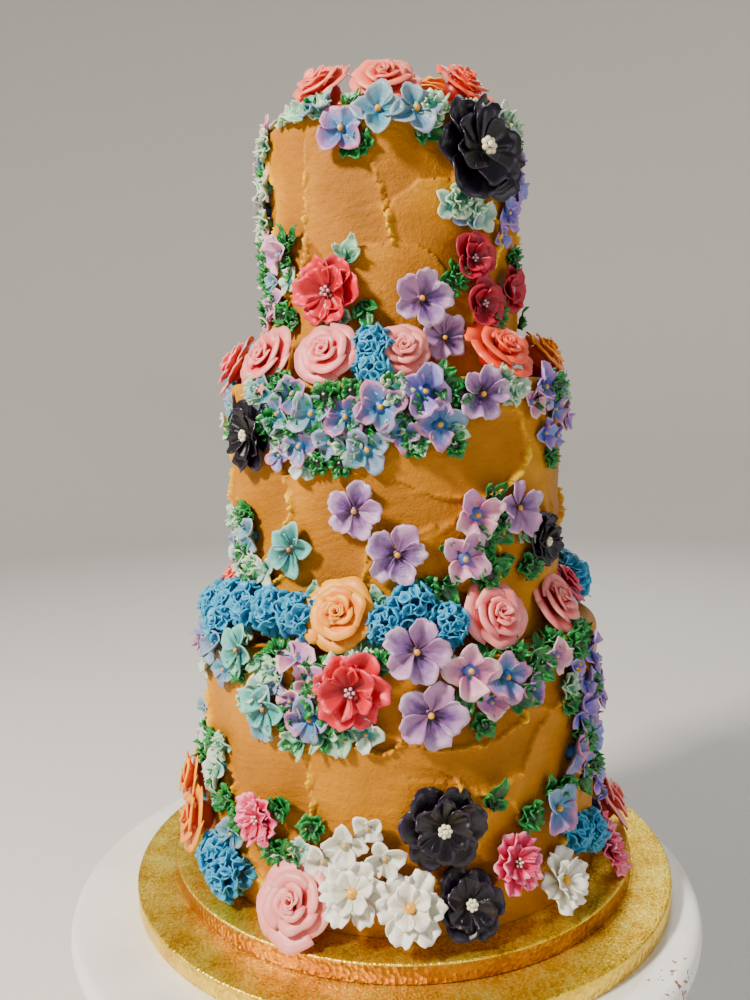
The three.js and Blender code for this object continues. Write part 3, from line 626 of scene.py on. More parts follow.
def rose_row(count, spread, foot, rim, low, high, flare, ragged, shift=0.0, grid=(12, 6)):
    """A row of rose petals, cupped round the heart, with flared rims. Sizes are shares of the rose's."""

    def bend(turn, chance):
        seed = chance.uniform(0, 90)
        reach = rim * chance.uniform(0.9, 1.02)
        top = high * chance.uniform(0.9, 1.06)

        def shape(u, v):
            angle = turn + spread * u
            roll = max(0.0, v - 0.72) / 0.28
            wave = noise.noise(Vector((1.7 * u + seed, 1.2 * v, seed)))
            torn = noise.noise(Vector((8.0 * u + seed, 3.0, seed)))
            out = foot + (reach - foot) * v**1.15 + flare * roll**2 + 0.07 * u * v + 0.1 * wave * v
            out *= 1 - 0.1 * u * u * v
            up = low + (top - low) * sin(v * pi / 2) * (1 - 0.24 * abs(u) ** 2.5) - 0.7 * flare * roll**2
            up += (0.07 * wave + ragged * torn) * v**3
            out += ragged * torn * v**3
            return out * cos(angle), out * sin(angle), up

        return shape

    return {"count": count, "bend": bend, "shift": shift, "grid": grid}


def rose_rows(ragged):
    """A whole rose: the wound heart, then four rows of petals, each more open than the one inside it."""

    def heart(turn, chance):
        def shape(u, v):
            wound = (u + 1) / 2
            out = 0.025 + 0.1 * wound + 0.03 * v * v
            angle = turn + 11 * wound
            return out * cos(angle), out * sin(angle), 0.3 + (0.35 - 0.04 * wound) * v

        return shape

    return [
        {"count": 1, "bend": heart, "shift": 0.0, "grid": (30, 4)},
        rose_row(3, 1.2, 0.09, 0.22, 0.3, 0.66, 0.02, ragged * 0.5),
        rose_row(3, 1.2, 0.12, 0.4, 0.2, 0.6, 0.04, ragged, 0.5),
        rose_row(4, 1.0, 0.16, 0.7, 0.08, 0.5, 0.06, ragged, 0.2),
        rose_row(5, 0.86, 0.22, 0.97, -0.02, 0.29, 0.07, ragged, 0.6),
    ]


ROSE_MOUND = {"wide": 0.5, "rise": 0.34, "middle": -0.04}

# Painted shade makes each rose petal's foot deep red down between the petals, and painted light makes its thin
# rim paler.
PINK = petal_icing(
    "pink rose buttercream", [(0.0, "#b8101c"), (0.35, "#ee484c"), (0.75, "#fa7478"), (1.0, "#ff9c9c")]
)
BLUSH = petal_icing("blush rose buttercream", [(0.0, "#c02c34"), (0.4, "#f66c70"), (1.0, "#ffa4a0")])
SALMON = petal_icing("salmon rose buttercream", [(0.0, "#c01c14"), (0.4, "#f4503c"), (1.0, "#ff8470")])
CORAL = petal_icing("coral rose buttercream", [(0.0, "#a00c00"), (0.4, "#ea2e10"), (1.0, "#fc5c34")])
ORANGE = petal_icing("orange rose buttercream", [(0.0, "#dc4c00"), (0.4, "#ff7c00"), (1.0, "#ffa414")])
DUSKY = petal_icing(
    "dusky rose buttercream", [(0.0, "#90102c"), (0.4, "#dc3c50"), (0.8, "#f07074"), (1.0, "#fca098")]
)
SHELL = petal_icing("shell pink rose buttercream", [(0.0, "#d43430"), (0.4, "#fc6c68"), (1.0, "#ff9a94")])
PEACH = petal_icing(
    "peach rose buttercream", [(0.0, "#ec5400"), (0.4, "#ff7c00"), (0.8, "#ff9600"), (1.0, "#ffb428")]
)
RASPBERRY = petal_icing("raspberry rose buttercream", [(0.0, "#70001c"), (0.45, "#b80c38"), (1.0, "#e03c64")])

# A rose's name, az, z, out, lean, size, icing, how ragged its rims are, and its slot.
ROSES = [
    ("rose_top_pink", -3.5, 471, 54, 42, 21, SALMON, 0.015, "pink"),
    ("rose_top_blush", -46, 474, 54, 45, 22, SALMON, 0.015, "pink"),
    ("rose_top_coral", 47, 474, 56, 45, 18.5, CORAL, 0.06, "coral"),
    ("rose_mid_coral", 39, 316, 93, 45, 22, CORAL, 0.06, "coral"),
    ("rose_mid_orange", 74, 319, 95, 42, 17, ORANGE, 0.06, "orange"),
    ("rose_mid_pink", -21.5, 317, 98, 24, 18.5, PINK, 0.012, "pink"),
    ("rose_mid_dusky", -46, 316, 98, 26, 20.5, DUSKY, 0.03, "pink"),
    ("rose_mid_shell", 3, 319, 93, 25, 15.5, SHELL, 0.012, "pink"),
    ("rose_low_peach", -16, 175, 112, 25, 21, PEACH, 0.015, "peach"),
    ("rose_low_pink", 28, 171, 112, 28, 20, PINK, 0.012, "pink"),
    ("rose_low_dusky", 57, 168, 108, 35, 22, DUSKY, 0.03, "pink"),
    ("rose_low_raspberry", 79, 173, 108, 40, 16, RASPBERRY, 0.02, "crimson"),
    ("rose_low_blush", -76, 180, 103, 38, 17.5, SALMON, 0.015, "pink"),
    ("rose_base_blush", -24.5, 18, 138, 32, 23, BLUSH, 0.012, "pink"),
]


def rose_piece(name, places, icing, ragged, nodes):
    mesh = bmesh.new()
    pipe(mesh, rose_rows(ragged), places, random.Random(name))
    mounds(mesh, places, **ROSE_MOUND)
    piece(name, mesh, [icing], nodes)


for name, az, z, out, lean, size, icing, ragged, slot in ROSES:
    rose_piece(name + "_piped", [placed(az, z, out, lean, 0, size)], icing, ragged, [name])

orange_pair = [placed(-66, 34, 138, 14, 0, 20), placed(-76, 50, 135, 10, 0, 21)]
rose_piece("roses_base_orange_piped", orange_pair, ORANGE, 0.01, ["roses_base_orange"])


# The frilled flowers
# Anemones, mallows, carnations and the little crimson flowers: two ruffled rows of petals round a bunch
# of stamens, each piped flat with the petal nozzle wagged in and out, and laid on the cake.
def fan_row(
    count, spread, reach, low, high, frill=0.0, waves=5, cup=0.0, blunt=0.28, tip=0.0, crease=0.04, loose=0.08,
    shift=0.0, grid=(10, 6),
):
    """A row of open petals that fan out from the middle. Sizes are shares of the flower's."""

    def bend(turn, chance):
        phase = chance.uniform(0, tau)
        length = reach * chance.uniform(0.88, 1.03)
        droop = chance.uniform(-loose, loose)
        lean = chance.uniform(-loose, loose) + 0.04
        width = spread * chance.uniform(0.88, 1.06)

        def shape(u, v):
            outline = 1 - blunt * abs(u) ** 2.3 + tip * exp(-((u / 0.3) ** 2)) - tip
            torn = noise.noise(Vector((4.5 * u, 1.5 * v, phase)))
            out = 0.05 + (length * (outline + 1.6 * frill * torn * v) - 0.05) * v
            angle = turn + width * u * (0.62 + 0.46 * sin(0.72 * pi * v))
            up = low + (high + droop - low) * v**1.3 + (cup * abs(u) ** 1.6 + lean * u) * v
            up += frill * v * v * (sin(waves * u + phase) + torn) - crease * exp(-((u / 0.18) ** 2)) * v
            return out * cos(angle), out * sin(angle), up

        return shape

    return {"count": count, "bend": bend, "shift": shift, "grid": grid}


def bunch(count, ring, height, middle=0):
    """Spots for stamens: a ring of them, and some in the middle."""
    spots = [(ring * cos(tau * n / count), ring * sin(tau * n / count), height) for n in range(count)]
    return spots + [(0.3 * ring * (n - middle / 2 + 0.5), 0, height + 0.05) for n in range(middle)]


FLAT_MOUND = {"wide": 0.2, "rise": 0.14, "middle": 0.0}
ANEMONE_ROWS = [
    fan_row(6, 0.72, 1.0, 0.02, 0.14, frill=0.045, waves=7, grid=(14, 7)),
    fan_row(6, 0.74, 0.7, 0.1, 0.32, frill=0.05, waves=6, shift=0.5, grid=(12, 6)),
]
MALLOW_ROWS = [
    fan_row(6, 0.72, 1.0, 0.04, 0.24, frill=0.07, waves=6, cup=0.06, loose=0.14, grid=(14, 7)),
    fan_row(5, 0.8, 0.68, 0.12, 0.42, frill=0.08, waves=6, cup=0.08, loose=0.14, shift=0.5, grid=(12, 6)),
]
CARNATION_ROWS = [
    fan_row(6, 0.7, 1.0, 0.04, 0.26, frill=0.1, waves=9, grid=(14, 6)),
    fan_row(5, 0.76, 0.66, 0.12, 0.4, frill=0.11, waves=8, shift=0.5, grid=(12, 5)),
]
CUPPED_ROWS = [
    fan_row(5, 0.82, 1.0, 0.04, 0.36, frill=0.03, waves=4, cup=0.14, loose=0.12, grid=(10, 6)),
    fan_row(4, 0.9, 0.6, 0.12, 0.46, frill=0.04, waves=4, cup=0.1, loose=0.12, shift=0.5, grid=(8, 5)),
]


def bead_icing(name, dark, light):
    """A dot of icing: smooth, moist and a little uneven in colour."""
    made = material(name)
    place = add(made, "TexCoord", {}).outputs["Object"]
    cloud = add(made, "TexNoise", {"Vector": place, "Scale": 300, "Detail": 2})
    color = add(made, "ValToRGB", {"Fac": cloud}, stops=[(0.35, dark), (0.65, light)])
    skin = add(made, "Bump", {"Strength": 0.2, "Distance": 0.0003, "Height": cloud})
    surface(made, {"Base Color": color, "Roughness": 0.35, "Subsurface Weight": 0.1, "Normal": skin,
                   "Subsurface Scale": 0.001})
    return made


# Nearly black icing shows its form only by its shine, with a thin dusty lilac painted highlight along each
# petal's rim.
DARK = petal_icing(
    "aubergine buttercream", [(0.0, "#040106"), (0.6, "#09030e"), (0.9, "#100718"), (1.0, "#241830")], 0.28
)
MALLOW = petal_icing(
    "mallow red buttercream", [(0.0, "#4c000c"), (0.45, "#b4001c"), (0.85, "#d80828"), (1.0, "#e8304c")]
)
CRIMSON = petal_icing("crimson buttercream", [(0.0, "#3c0010"), (0.5, "#8c001c"), (1.0, "#b80c34")])
CARNATION = petal_icing(
    "carnation pink buttercream", [(0.0, "#800028"), (0.5, "#cc1048"), (0.85, "#e43c70"), (1.0, "#f890b0")]
)
CREAM_BEAD = bead_icing("cream bead icing", "#e4d8b4", "#f4ecd2")
PINK_BEAD = bead_icing("pink bead icing", "#c890a4", "#e8b8c4")
YELLOW_BEAD = bead_icing("yellow bead icing", "#d88a00", "#f4b814")

SKIN = 1.4  # flowers on a tier's side are laid this far out of it, on the swipes


def on_tier(key, az, z, lean, size, turn=0):
    return placed(az, z, TIERS[key]["radius"] + SKIN, lean, turn, size)


def flat_piece(name, rows, places, materials, nodes, spots, radius, mound=None):
    """A piece of one or more open flowers with beads or stamens in their middles."""
    mesh = bmesh.new()
    pipe(mesh, rows, places, random.Random(name))
    mounds(mesh, places, **(mound or FLAT_MOUND))
    beads(mesh, places, spots, radius)
    return piece(name, mesh, materials, nodes)


def flowers(places, rows, materials, spots, radius):
    """Open flowers of one kind, each a piece that stands for its own node."""
    for name, place in places.items():
        flat_piece(name + "_piped", rows, [place], materials, [name], spots, radius)


anemones = {
    "anemone_top": on_tier("top", 37, 432, 6, 33),
    "anemone_base_large": on_tier("low", 9.5, 64, 5, 25),
    "anemone_base_small": placed(15, 21, 137, 26, 0, 21.5),
    "anemone_mid_left": on_tier("mid", -50, 274, 0, 22.5),
    "anemone_mid_right": on_tier("mid", 51, 209, 0, 18.5),
}
mallows = {
    "mallow_top": on_tier("top", -26, 354, 5, 22.5),
    "mallow_low": on_tier("low", -11, 140, 3, 22.5),
}
crimsons = {
    "crimson_top": on_tier("top", 33, 372, 0, 15.5),
    "crimson_low": on_tier("top", 38, 347, 0, 16, 20),
    "crimson_right": on_tier("top", 56, 357, 0, 15, 40),
}
carnations = {
    "carnation_base_right": placed(27.5, 38, 134, 15, 0, 17),
    "carnation_base_left": on_tier("low", -38, 57, 4, 16.5),
    "carnation_base_far": placed(66, 13, 139, 25, 0, 20),
}
flowers(anemones, ANEMONE_ROWS, [DARK, CREAM_BEAD], bunch(7, 0.11, 0.3, 2), 0.055)
flowers(mallows, MALLOW_ROWS, [MALLOW, PINK_BEAD], bunch(5, 0.1, 0.3, 1), 0.045)
flowers(crimsons, CUPPED_ROWS, [CRIMSON, PINK_BEAD], bunch(4, 0.1, 0.3, 1), 0.05)
flowers(carnations, CARNATION_ROWS, [CARNATION, CREAM_BEAD], bunch(5, 0.12, 0.3, 1), 0.045)


# The open flowers
# Pansies, teal flowers and hydrangea blossoms have a single row of petals, and primroses two, round a throat
# with one bead. A second colour, brushed inside the piping bag, streaks them.
PANSY_ROWS = [fan_row(5, 0.66, 1.08, 0.06, 0.28, frill=0.07, waves=5, cup=0.05, loose=0.14, grid=(12, 7))]
TEAL_ROWS = [
    fan_row(5, 0.74, 1.0, 0.06, 0.26, frill=0.03, waves=4, cup=0.12, tip=0.14, loose=0.08, grid=(10, 7)),
]
PRIMROSE_ROWS = [
    fan_row(6, 0.62, 1.0, 0.0, 0.2, frill=0.08, waves=8, loose=0.12, grid=(14, 7)),
    fan_row(5, 0.78, 0.62, 0.14, 0.4, frill=0.06, waves=7, shift=0.4, grid=(12, 5)),
]
HYDRANGEA_ROWS = [fan_row(4, 0.9, 1.0, 0.05, 0.28, frill=0.04, waves=4, cup=0.1, tip=0.12, loose=0.1)]

LILAC = petal_icing(
    "streaked lilac buttercream", [(0.2, "#14001e"), (0.36, "#6c4088"), (0.65, "#9870ac"), (1.0, "#ccaccc")],
    streak="#3c0c5c", streak_width=0.5, streak_length=0.8, other="#b07ca8",
)
TEAL = petal_icing(
    "streaked teal buttercream", [(0.22, "#020a0c"), (0.36, "#0c646c"), (0.65, "#3c9c9c"), (1.0, "#8cccc0")],
    streak="#04444c", streak_width=0.45, streak_length=0.75, other="#5cb8a8",
)
WHITE = petal_icing(
    "white buttercream", [(0.0, "#b4a850"), (0.25, "#dcd8c0"), (1.0, "#f6f4ea")],
    streak="#a4ac98", streak_width=0.3, streak_length=0.9,
)
HYDRANGEA = petal_icing(
    "hydrangea buttercream", [(0.0, "#08488c"), (0.35, "#4078b0"), (0.7, "#8470b4"), (1.0, "#cc84a8")],
    streak="#045494", streak_width=0.55, streak_length=0.9, other="#5c98b4",
)
AQUA = petal_icing(
    "aqua hydrangea buttercream", [(0.0, "#04587c"), (0.35, "#2c88a0"), (0.7, "#689ca8"), (1.0, "#98b0bc")],
    streak="#046488", streak_width=0.55, streak_length=0.9, other="#8888b4",
)
ORANGE_BEAD = bead_icing("orange bead icing", "#c8741a", "#e89a30")

ONE_BEAD = [(0, 0, 0.2)]
pansies = {
    "pansy_low_rim": on_tier("low", 4, 161, 8, 17.5),
    "pansy_low_side": on_tier("low", 7, 127, 0, 18),
    "pansy_top_left": on_tier("top", 11, 349, 0, 16.5),
    "pansy_top_right": on_tier("top", 20, 327, 4, 14.5, 36),
    "pansy_mid_rim": on_tier("mid", 25.5, 295, 0, 15.5),
    "pansy_mid_left": on_tier("mid", -12, 233, 0, 16),
    "pansy_mid_middle": on_tier("mid", 0, 209, 0, 16.5),
    "pansy_mid_right": on_tier("mid", 38.5, 231, 0, 16, 20),
}
teals = {
    "teal_mid": on_tier("mid", -33, 210, 0, 17),
    "teal_low_rim": on_tier("low", -43.5, 153, 6, 16.5),
    "teal_low_side": on_tier("low", -34.5, 123, 0, 17),
}
primroses = {
    "primrose_base_left": placed(-11, 30, 139, 28, 0, 20),
    "primrose_base_middle": placed(1.5, 24, 141, 32, 0, 20.5),
    "primrose_base_right": placed(40.5, 19, 139, 28, 0, 18.5),
}
flowers(pansies, PANSY_ROWS, [LILAC, YELLOW_BEAD], ONE_BEAD, 0.1)
flowers(teals, TEAL_ROWS, [TEAL, ORANGE_BEAD], ONE_BEAD, 0.08)
flowers(primroses, PRIMROSE_ROWS, [WHITE, YELLOW_BEAD], ONE_BEAD, 0.15)

for name, places, icing in [
    ("hydrangea_base", [on_tier("low", 42, 59, 8, 17.5, 40)], HYDRANGEA),
    ("hydrangea_top", [on_tier("top", -19, 442, 6, 16, 40)], HYDRANGEA),
    ("hydrangeas_rim", [on_tier("top", -4.5, 450, 12, 16.5), on_tier("top", 10, 450, 12, 16.5, 20)], AQUA),
]:
    icings = [icing, YELLOW_BEAD]
    flat_piece(name + "_piped", HYDRANGEA_ROWS, places, icings, [name], ONE_BEAD, 0.11)

# The blue clusters
# Mounds of little blue florets, piped close together on the ledges and the board in two tints of blue.
FLORET_ROWS = [fan_row(5, 0.78, 1.0, 0.0, 0.36, frill=0.06, waves=4, cup=0.12, loose=0.16, grid=(6, 4))]
BLUE = petal_icing("blue buttercream", [(0.0, "#04305c"), (0.45, "#0470b0"), (1.0, "#40a8d4")], other="#30a0c4")
FLORET_SHARE = 0.64  # a floret's size over its cluster's


def florets(place, chance):
    """Places for a cluster's florets: one on top and two rings down the sides of the mound."""
    spots = []
    for polar, count in ((0, 1), (46, 5), (82, 6)):
        for number in range(count):
            round_it = 360 * (number + chance.uniform(-0.2, 0.2)) / count
            spots.append(
                place
                @ Matrix.Rotation(radians(round_it + polar), 4, "Z")
                @ Matrix.Rotation(radians(polar), 4, "Y")
                @ Matrix.Translation((0, 0, (0.62 - 0.18 * cos(radians(polar)))))
                @ Matrix.Scale(FLORET_SHARE * chance.uniform(0.85, 1.1), 4)
            )
    return spots


def cluster_piece(name, places, icing, nodes):
    chance = random.Random(name)
    mesh = bmesh.new()
    spots = [spot for place in places for spot in florets(place, chance)]
    pipe(mesh, FLORET_ROWS, spots, chance)
    mounds(mesh, places, wide=0.72, rise=0.46, middle=0.0)
    piece(name, mesh, [icing], nodes)


for name, blooms in {
    "blue_mid": [(-7, 322, 96, 20, 12), (-6.5, 308, 102, 12, 11.5)],
    "blue_low": [(4, 181, 113, 26, 14), (13, 171, 117, 26, 12.5), (-3.5, 171, 117, 26, 11.5)],
    "blue_low_left": [
        (-28, 174, 116, 32, 13.5),
        (-38, 174, 116, 34, 14),
        (-48, 174, 115, 34, 14.5),
        (-59, 173, 115, 34, 15),
        (-69, 167, 120, 28, 14),
        (-58, 160, 124, 22, 13),
    ],
    "blue_base": [(-47, 17, 137, 32, 14), (-55, 22, 136, 28, 13.5)],
    "blue_base_right": [(51, 36, 130, 12, 12), (59, 30, 132, 16, 13)],
}.items():
    places = [placed(az, z, out, lean, 0, size) for az, z, out, lean, size in blooms]
    cluster_piece(name + "_piped", places, BLUE, [name])

# The garlands at the back
# The ledges' flowers carry on round the back of the cake, laid so that each laps the next.
# For each kind of flower: its z, how far out it is and its lean, then each one's az and size.
GARLANDS = {
    "garland_back_top": [
        ("rose", 473, 53, 45, [(100, 22.5), (136, 23), (172, 22.5), (208, 23), (244, 22.5)]),
        ("rose", 475, 25, 76, [(78, 25)]),
        ("rose", 475, 25, 80, [(230, 26)]),
    ],
    "garland_back_mid": [
        ("rose", 315, 98, 30, [(100, 22.5), (136, 23), (171, 22.5), (207, 22.5), (243, 23), (277, 21)]),
        ("open", 312, 100, 26, [(118, 21), (189, 21), (225, 21)]),
        ("cluster", 313, 99, 26, [(154, 19), (260, 19)]),
    ],
    "garland_back_low": [
        ("rose", 170, 115, 30, [(113, 23.5), (145, 23), (176, 23.5), (208, 23), (239, 23.5)]),
        ("open", 167, 118, 26, [(129, 21.5), (192, 21.5), (255, 21.5)]),
        ("cluster", 168, 117, 28, [(98, 18.5), (161, 19), (224, 19)]),
    ],
    "garland_back_base": [
        ("rose", 18, 137, 32, [(88, 23), (117, 23), (159, 23), (188, 24), (217, 23), (247, 23)]),
        ("open", 20, 136, 30, [(102, 22), (145, 22), (173, 22), (232, 22)]),
        ("cluster", 18, 137, 30, [(131, 20), (203, 20), (261, 19)]),
    ],
}
GARLAND_ICING = {
    "garland_back_top": (SALMON, PEACH, LILAC, "pink"),
    "garland_back_mid": (DUSKY, PINK, LILAC, "lilac"),
    "garland_back_low": (PEACH, PINK, HYDRANGEA, "coral"),
    "garland_back_base": (BLUSH, ORANGE, WHITE, "cream"),
}
for name, kinds in GARLANDS.items():
    first, second, open_icing, slot = GARLAND_ICING[name]
    spots = {"rose": [], "open": [], "cluster": []}
    for kind, z, out, lean, blooms in kinds:
        turn = 45 if kind == "open" else 0
        spots[kind] += [placed(az, z, out, lean, turn, size) for az, size in blooms]
    rose_piece(name + "_roses", spots["rose"][0::2], first, 0.015, [name])
    rose_piece(name + "_more_roses", spots["rose"][1::2], second, 0.03, [name])
    if spots["open"]:
        icings = [open_icing, YELLOW_BEAD]
        flat_piece(name + "_open", HYDRANGEA_ROWS, spots["open"], icings, [name], ONE_BEAD, 0.1)
    if spots["cluster"]:
        cluster_piece(name + "_blue", spots["cluster"], BLUE, [name])

# The small blossoms
# Little four-petalled flowers piped straight on the tiers' sides, in trails below the garlands.
# Their tints are brushed into the piping bag, so that each petal shows streaks.
VIOLET = petal_icing(
    "violet blossom buttercream", [(0.0, "#20248c"), (0.4, "#5c4cb4"), (0.75, "#8c6cc0"), (1.0, "#bc94d0")],
    streak="#1c3c9c", streak_width=0.5, streak_length=0.8, other="#6c8cc8",
)
MINT = petal_icing(
    "mint blossom buttercream", [(0.0, "#1c8080"), (0.4, "#7cb8a8"), (0.75, "#acd0bc"), (1.0, "#d8e6d0")],
    streak="#1c8c98", streak_width=0.4, streak_length=0.7, other="#c8d8c8",
)
ROSY = petal_icing(
    "rosy blossom buttercream", [(0.0, "#8c2c80"), (0.4, "#cc78a4"), (0.75, "#dc9cb4"), (1.0, "#ecc4c8")],
    streak="#4c6cb8", streak_width=0.5, streak_length=0.6, other="#bc80c0",
)
BLOSSOM_ICING = {"sky": HYDRANGEA, "aqua": AQUA, "violet": VIOLET, "mint": MINT, "rosy": ROSY, "white": WHITE}
# Their az, z and size.
SMALL_BLOSSOMS = {
    "top": {
        "sky": [(-80, 380, 9), (-77, 412, 10)],
        "aqua": [(-31, 459, 13), (148, 350, 14), (-76, 440, 10), (-62, 366, 9), (31, 397, 10)],
        "violet": [
            (68, 420, 11), (57, 402, 12), (160, 442, 14), (232, 350, 13), (62, 414, 10), (72, 432, 10),
            (52, 388, 8),
        ],
        "mint": [
            (-82, 428, 12), (-84, 362, 10), (56, 454, 11), (24, 401, 11), (-72, 466, 11), (-79, 396, 10),
            (-49, 364, 9), (39, 396, 10), (64, 442, 9), (-70, 424, 10),
        ],
        "rosy": [
            (-72, 455, 13), (-82, 447, 12), (-83, 405, 10), (-56, 380, 12.5), (-60, 352, 12), (206, 418, 12),
            (-71, 392, 9), (-70, 342, 11),
        ],
    },
    "mid": {
        "sky": [
            (-29, 268, 13), (-14, 284, 14), (-4, 289, 15), (12.5, 279, 15), (171, 284, 14), (-31, 297, 12),
            (2, 275, 11), (60, 286, 11), (-37, 263, 9),
        ],
        "aqua": [
            (-37, 286, 12), (-24.5, 286, 14), (-8, 266, 14), (-53, 214, 12), (-66, 290, 10), (236, 282, 14),
            (-19, 270, 11), (-66, 204, 10), (-43, 298, 11),
        ],
        "violet": [
            (8.5, 297, 15), (52, 299, 14), (53, 272, 10), (76, 282, 11), (158, 222, 15), (216, 214, 15),
            (63, 270, 9), (66, 299, 12),
        ],
        "mint": [
            (-45, 195, 10), (-61, 197, 11), (-78, 278, 10), (-62, 216, 9), (-55, 186, 10), (39, 302, 10),
            (-28, 257, 9),
        ],
        "rosy": [(23.5, 229, 16), (19.5, 205, 16), (126, 204, 15), (46, 290, 10)],
    },
    "low": {
        "sky": [
            (-21.5, 122, 14), (26, 143, 14), (51, 85, 15), (160, 136, 15), (-68, 150, 12), (58, 72, 11),
            (34, 133, 10), (61, 98, 11),
        ],
        "aqua": [
            (-50, 38, 12), (-69, 99, 9), (-57, 150, 13), (-51, 138, 11), (-31, 140, 10), (-36, 112, 10),
        ],
        "violet": [
            (61, 142, 12), (51, 136, 10), (70, 112, 12), (54, 109, 14), (67, 58, 11), (112, 136, 15),
            (58, 124, 11), (66, 84, 11), (76, 30, 10), (66, 128, 9),
        ],
        "mint": [
            (-57, 74, 13), (-67, 86, 10), (-64, 60, 10), (-37, 132, 10), (-64, 134, 10), (-14, 156, 10),
            (-8, 116, 10), (-25, 46, 9),
        ],
        "rosy": [
            (-26.5, 155, 14), (-21.5, 143, 12), (16.5, 149, 16), (-76, 80, 10), (216, 134, 15), (42, 148, 11),
            (-27, 130, 10), (22, 130, 10),
        ],
        "white": [(-13.5, 53, 13), (-4, 47, 12), (-19, 42, 12), (-8, 63, 10)],
    },
}
BLOSSOM_MOUND = {"wide": 0.34, "rise": 0.34, "middle": 0.0}
PRESSED_IN = 0.5
ROUNDED = 4  # a blossom starts to lean back this far below its tier's top
STEEPEST = 60  # the most that a blossom on the edge leans back


def on_side(key, az, z, size, turn):
    """A place pressed into a tier's side, or on its edge where z is above its side."""
    tier = TIERS[key]
    over = max(0.0, z - (tier["floor"] + TIER_HEIGHT - ROUNDED))
    out = tier["radius"] - PRESSED_IN - 0.7 * over
    return placed(az, z - 0.6 * over, out, min(STEEPEST, 8 * over), turn, size)


BLOSSOM_ROWS = [
    fan_row(4, 0.88, 1.05, 0.14, 0.42, frill=0.08, waves=4, cup=0.14, tip=0.12, loose=0.18, grid=(8, 5)),
]
for key, colors in SMALL_BLOSSOMS.items():
    for color, spots in colors.items():
        chance = random.Random(key + color)
        places = [on_side(key, az, z, size, chance.uniform(0, 90)) for az, z, size in spots]
        flat_piece(
            f"blossoms_{key}_{color}", BLOSSOM_ROWS, places, [BLOSSOM_ICING[color], YELLOW_BEAD],
            [f"tier_{key}"], [(0, 0, 0.3)], 0.11, BLOSSOM_MOUND,
        )

# The buds
# Crinkled green and mint rosettes crowd in between the blossoms.
# They are piped with a leaf nozzle held upright.
# The green is a little glossier than the mint.
GREEN = petal_icing(
    "green leaf buttercream", [(0.0, "#012008"), (0.5, "#04541c"), (1.0, "#24943c")], 0.28, other="#0c702c"
)
PALE_MINT = petal_icing("mint leaf buttercream", [(0.0, "#1c7460"), (0.5, "#68b08c"), (1.0, "#bcdcb8")], 0.34)
# Their az, z and size.
GREEN_BUDS = {
    "top": [
        (-76, 432, 7), (-80, 415, 7), (-78, 388, 8), (-74, 372, 8), (-66, 356, 8), (-52, 344, 9), (-66, 380, 8),
        (-12, 434, 7), (47, 340, 9), (64, 376, 8), (26, 362, 8), (-76, 350, 9), (-38, 468, 9), (-78, 459, 7),
    ],
    "mid": [
        (-41, 280, 9), (-31, 279, 8), (-20, 295, 9), (-12, 297, 8), (-9, 277, 8), (4, 286, 9), (5, 268, 7),
        (17, 268, 7), (-35, 303, 9), (-16, 258, 7), (19, 296, 8), (60, 300, 9), (57, 258, 7), (-56, 226, 9),
        (-58, 204, 8), (-51, 190, 9), (26, 213, 9), (31, 225, 8), (27, 195, 10), (44, 196, 9), (8, 188, 9),
        (-62, 276, 9), (-23, 259, 7),
    ],
    "low": [
        (-33, 157, 9), (-20, 133, 9), (-28, 120, 8), (-16, 122, 8), (-5, 155, 8), (30, 158, 9), (37, 144, 9),
        (45, 157, 9), (52, 150, 9), (59, 156, 9), (63, 118, 8), (60, 88, 8), (63, 70, 9), (47, 68, 8),
        (-60, 88, 8), (-61, 66, 8), (-72, 74, 9), (-46, 50, 9), (-52, 58, 8), (20, 118, 7), (-44, 142, 8),
        (-60, 162, 9), (33, 60, 9), (-33, 40, 9), (-22, 60, 8), (48, 118, 8), (54, 96, 8),
    ],
}
MINT_BUDS = {
    "top": [
        (-85, 438, 8), (-68, 448, 9), (-74, 402, 9), (-24, 340, 9), (-50, 460, 9), (44, 462, 9), (63, 456, 9),
        (28, 404, 9), (34, 400, 8), (16, 452, 9),
    ],
    "mid": [
        (-47, 300, 9), (-52, 196, 8), (0, 298, 9), (33, 303, 9), (36, 296, 8), (-14, 268, 8), (-67, 222, 8),
    ],
    "low": [
        (-72, 160, 9), (-41, 124, 8), (-10, 160, 8), (-32, 146, 8), (-54, 90, 8), (-48, 158, 8), (48, 128, 8),
    ],
}
BUD_ROWS = [
    fan_row(6, 0.56, 1.05, 0.1, 0.34, frill=0.16, waves=5, cup=0.1, loose=0.16, grid=(6, 4)),
    fan_row(5, 0.6, 0.7, 0.3, 0.62, frill=0.16, waves=5, cup=0.1, loose=0.16, shift=0.5, grid=(5, 4)),
]
BUD_SCALE = 1.1

for buds, icing, label in ((GREEN_BUDS, GREEN, "green"), (MINT_BUDS, PALE_MINT, "mint")):
    for key, spots in buds.items():
        name = f"buds_{key}_{label}"
        places = [on_side(key, az, z, size * BUD_SCALE, 0) for az, z, size in spots]
        mesh = bmesh.new()
        pipe(mesh, BUD_ROWS, places, random.Random(name))
        mounds(mesh, places, wide=0.5, rise=0.5, middle=0.1)
        piece(name, mesh, [icing], [f"tier_{key}"])

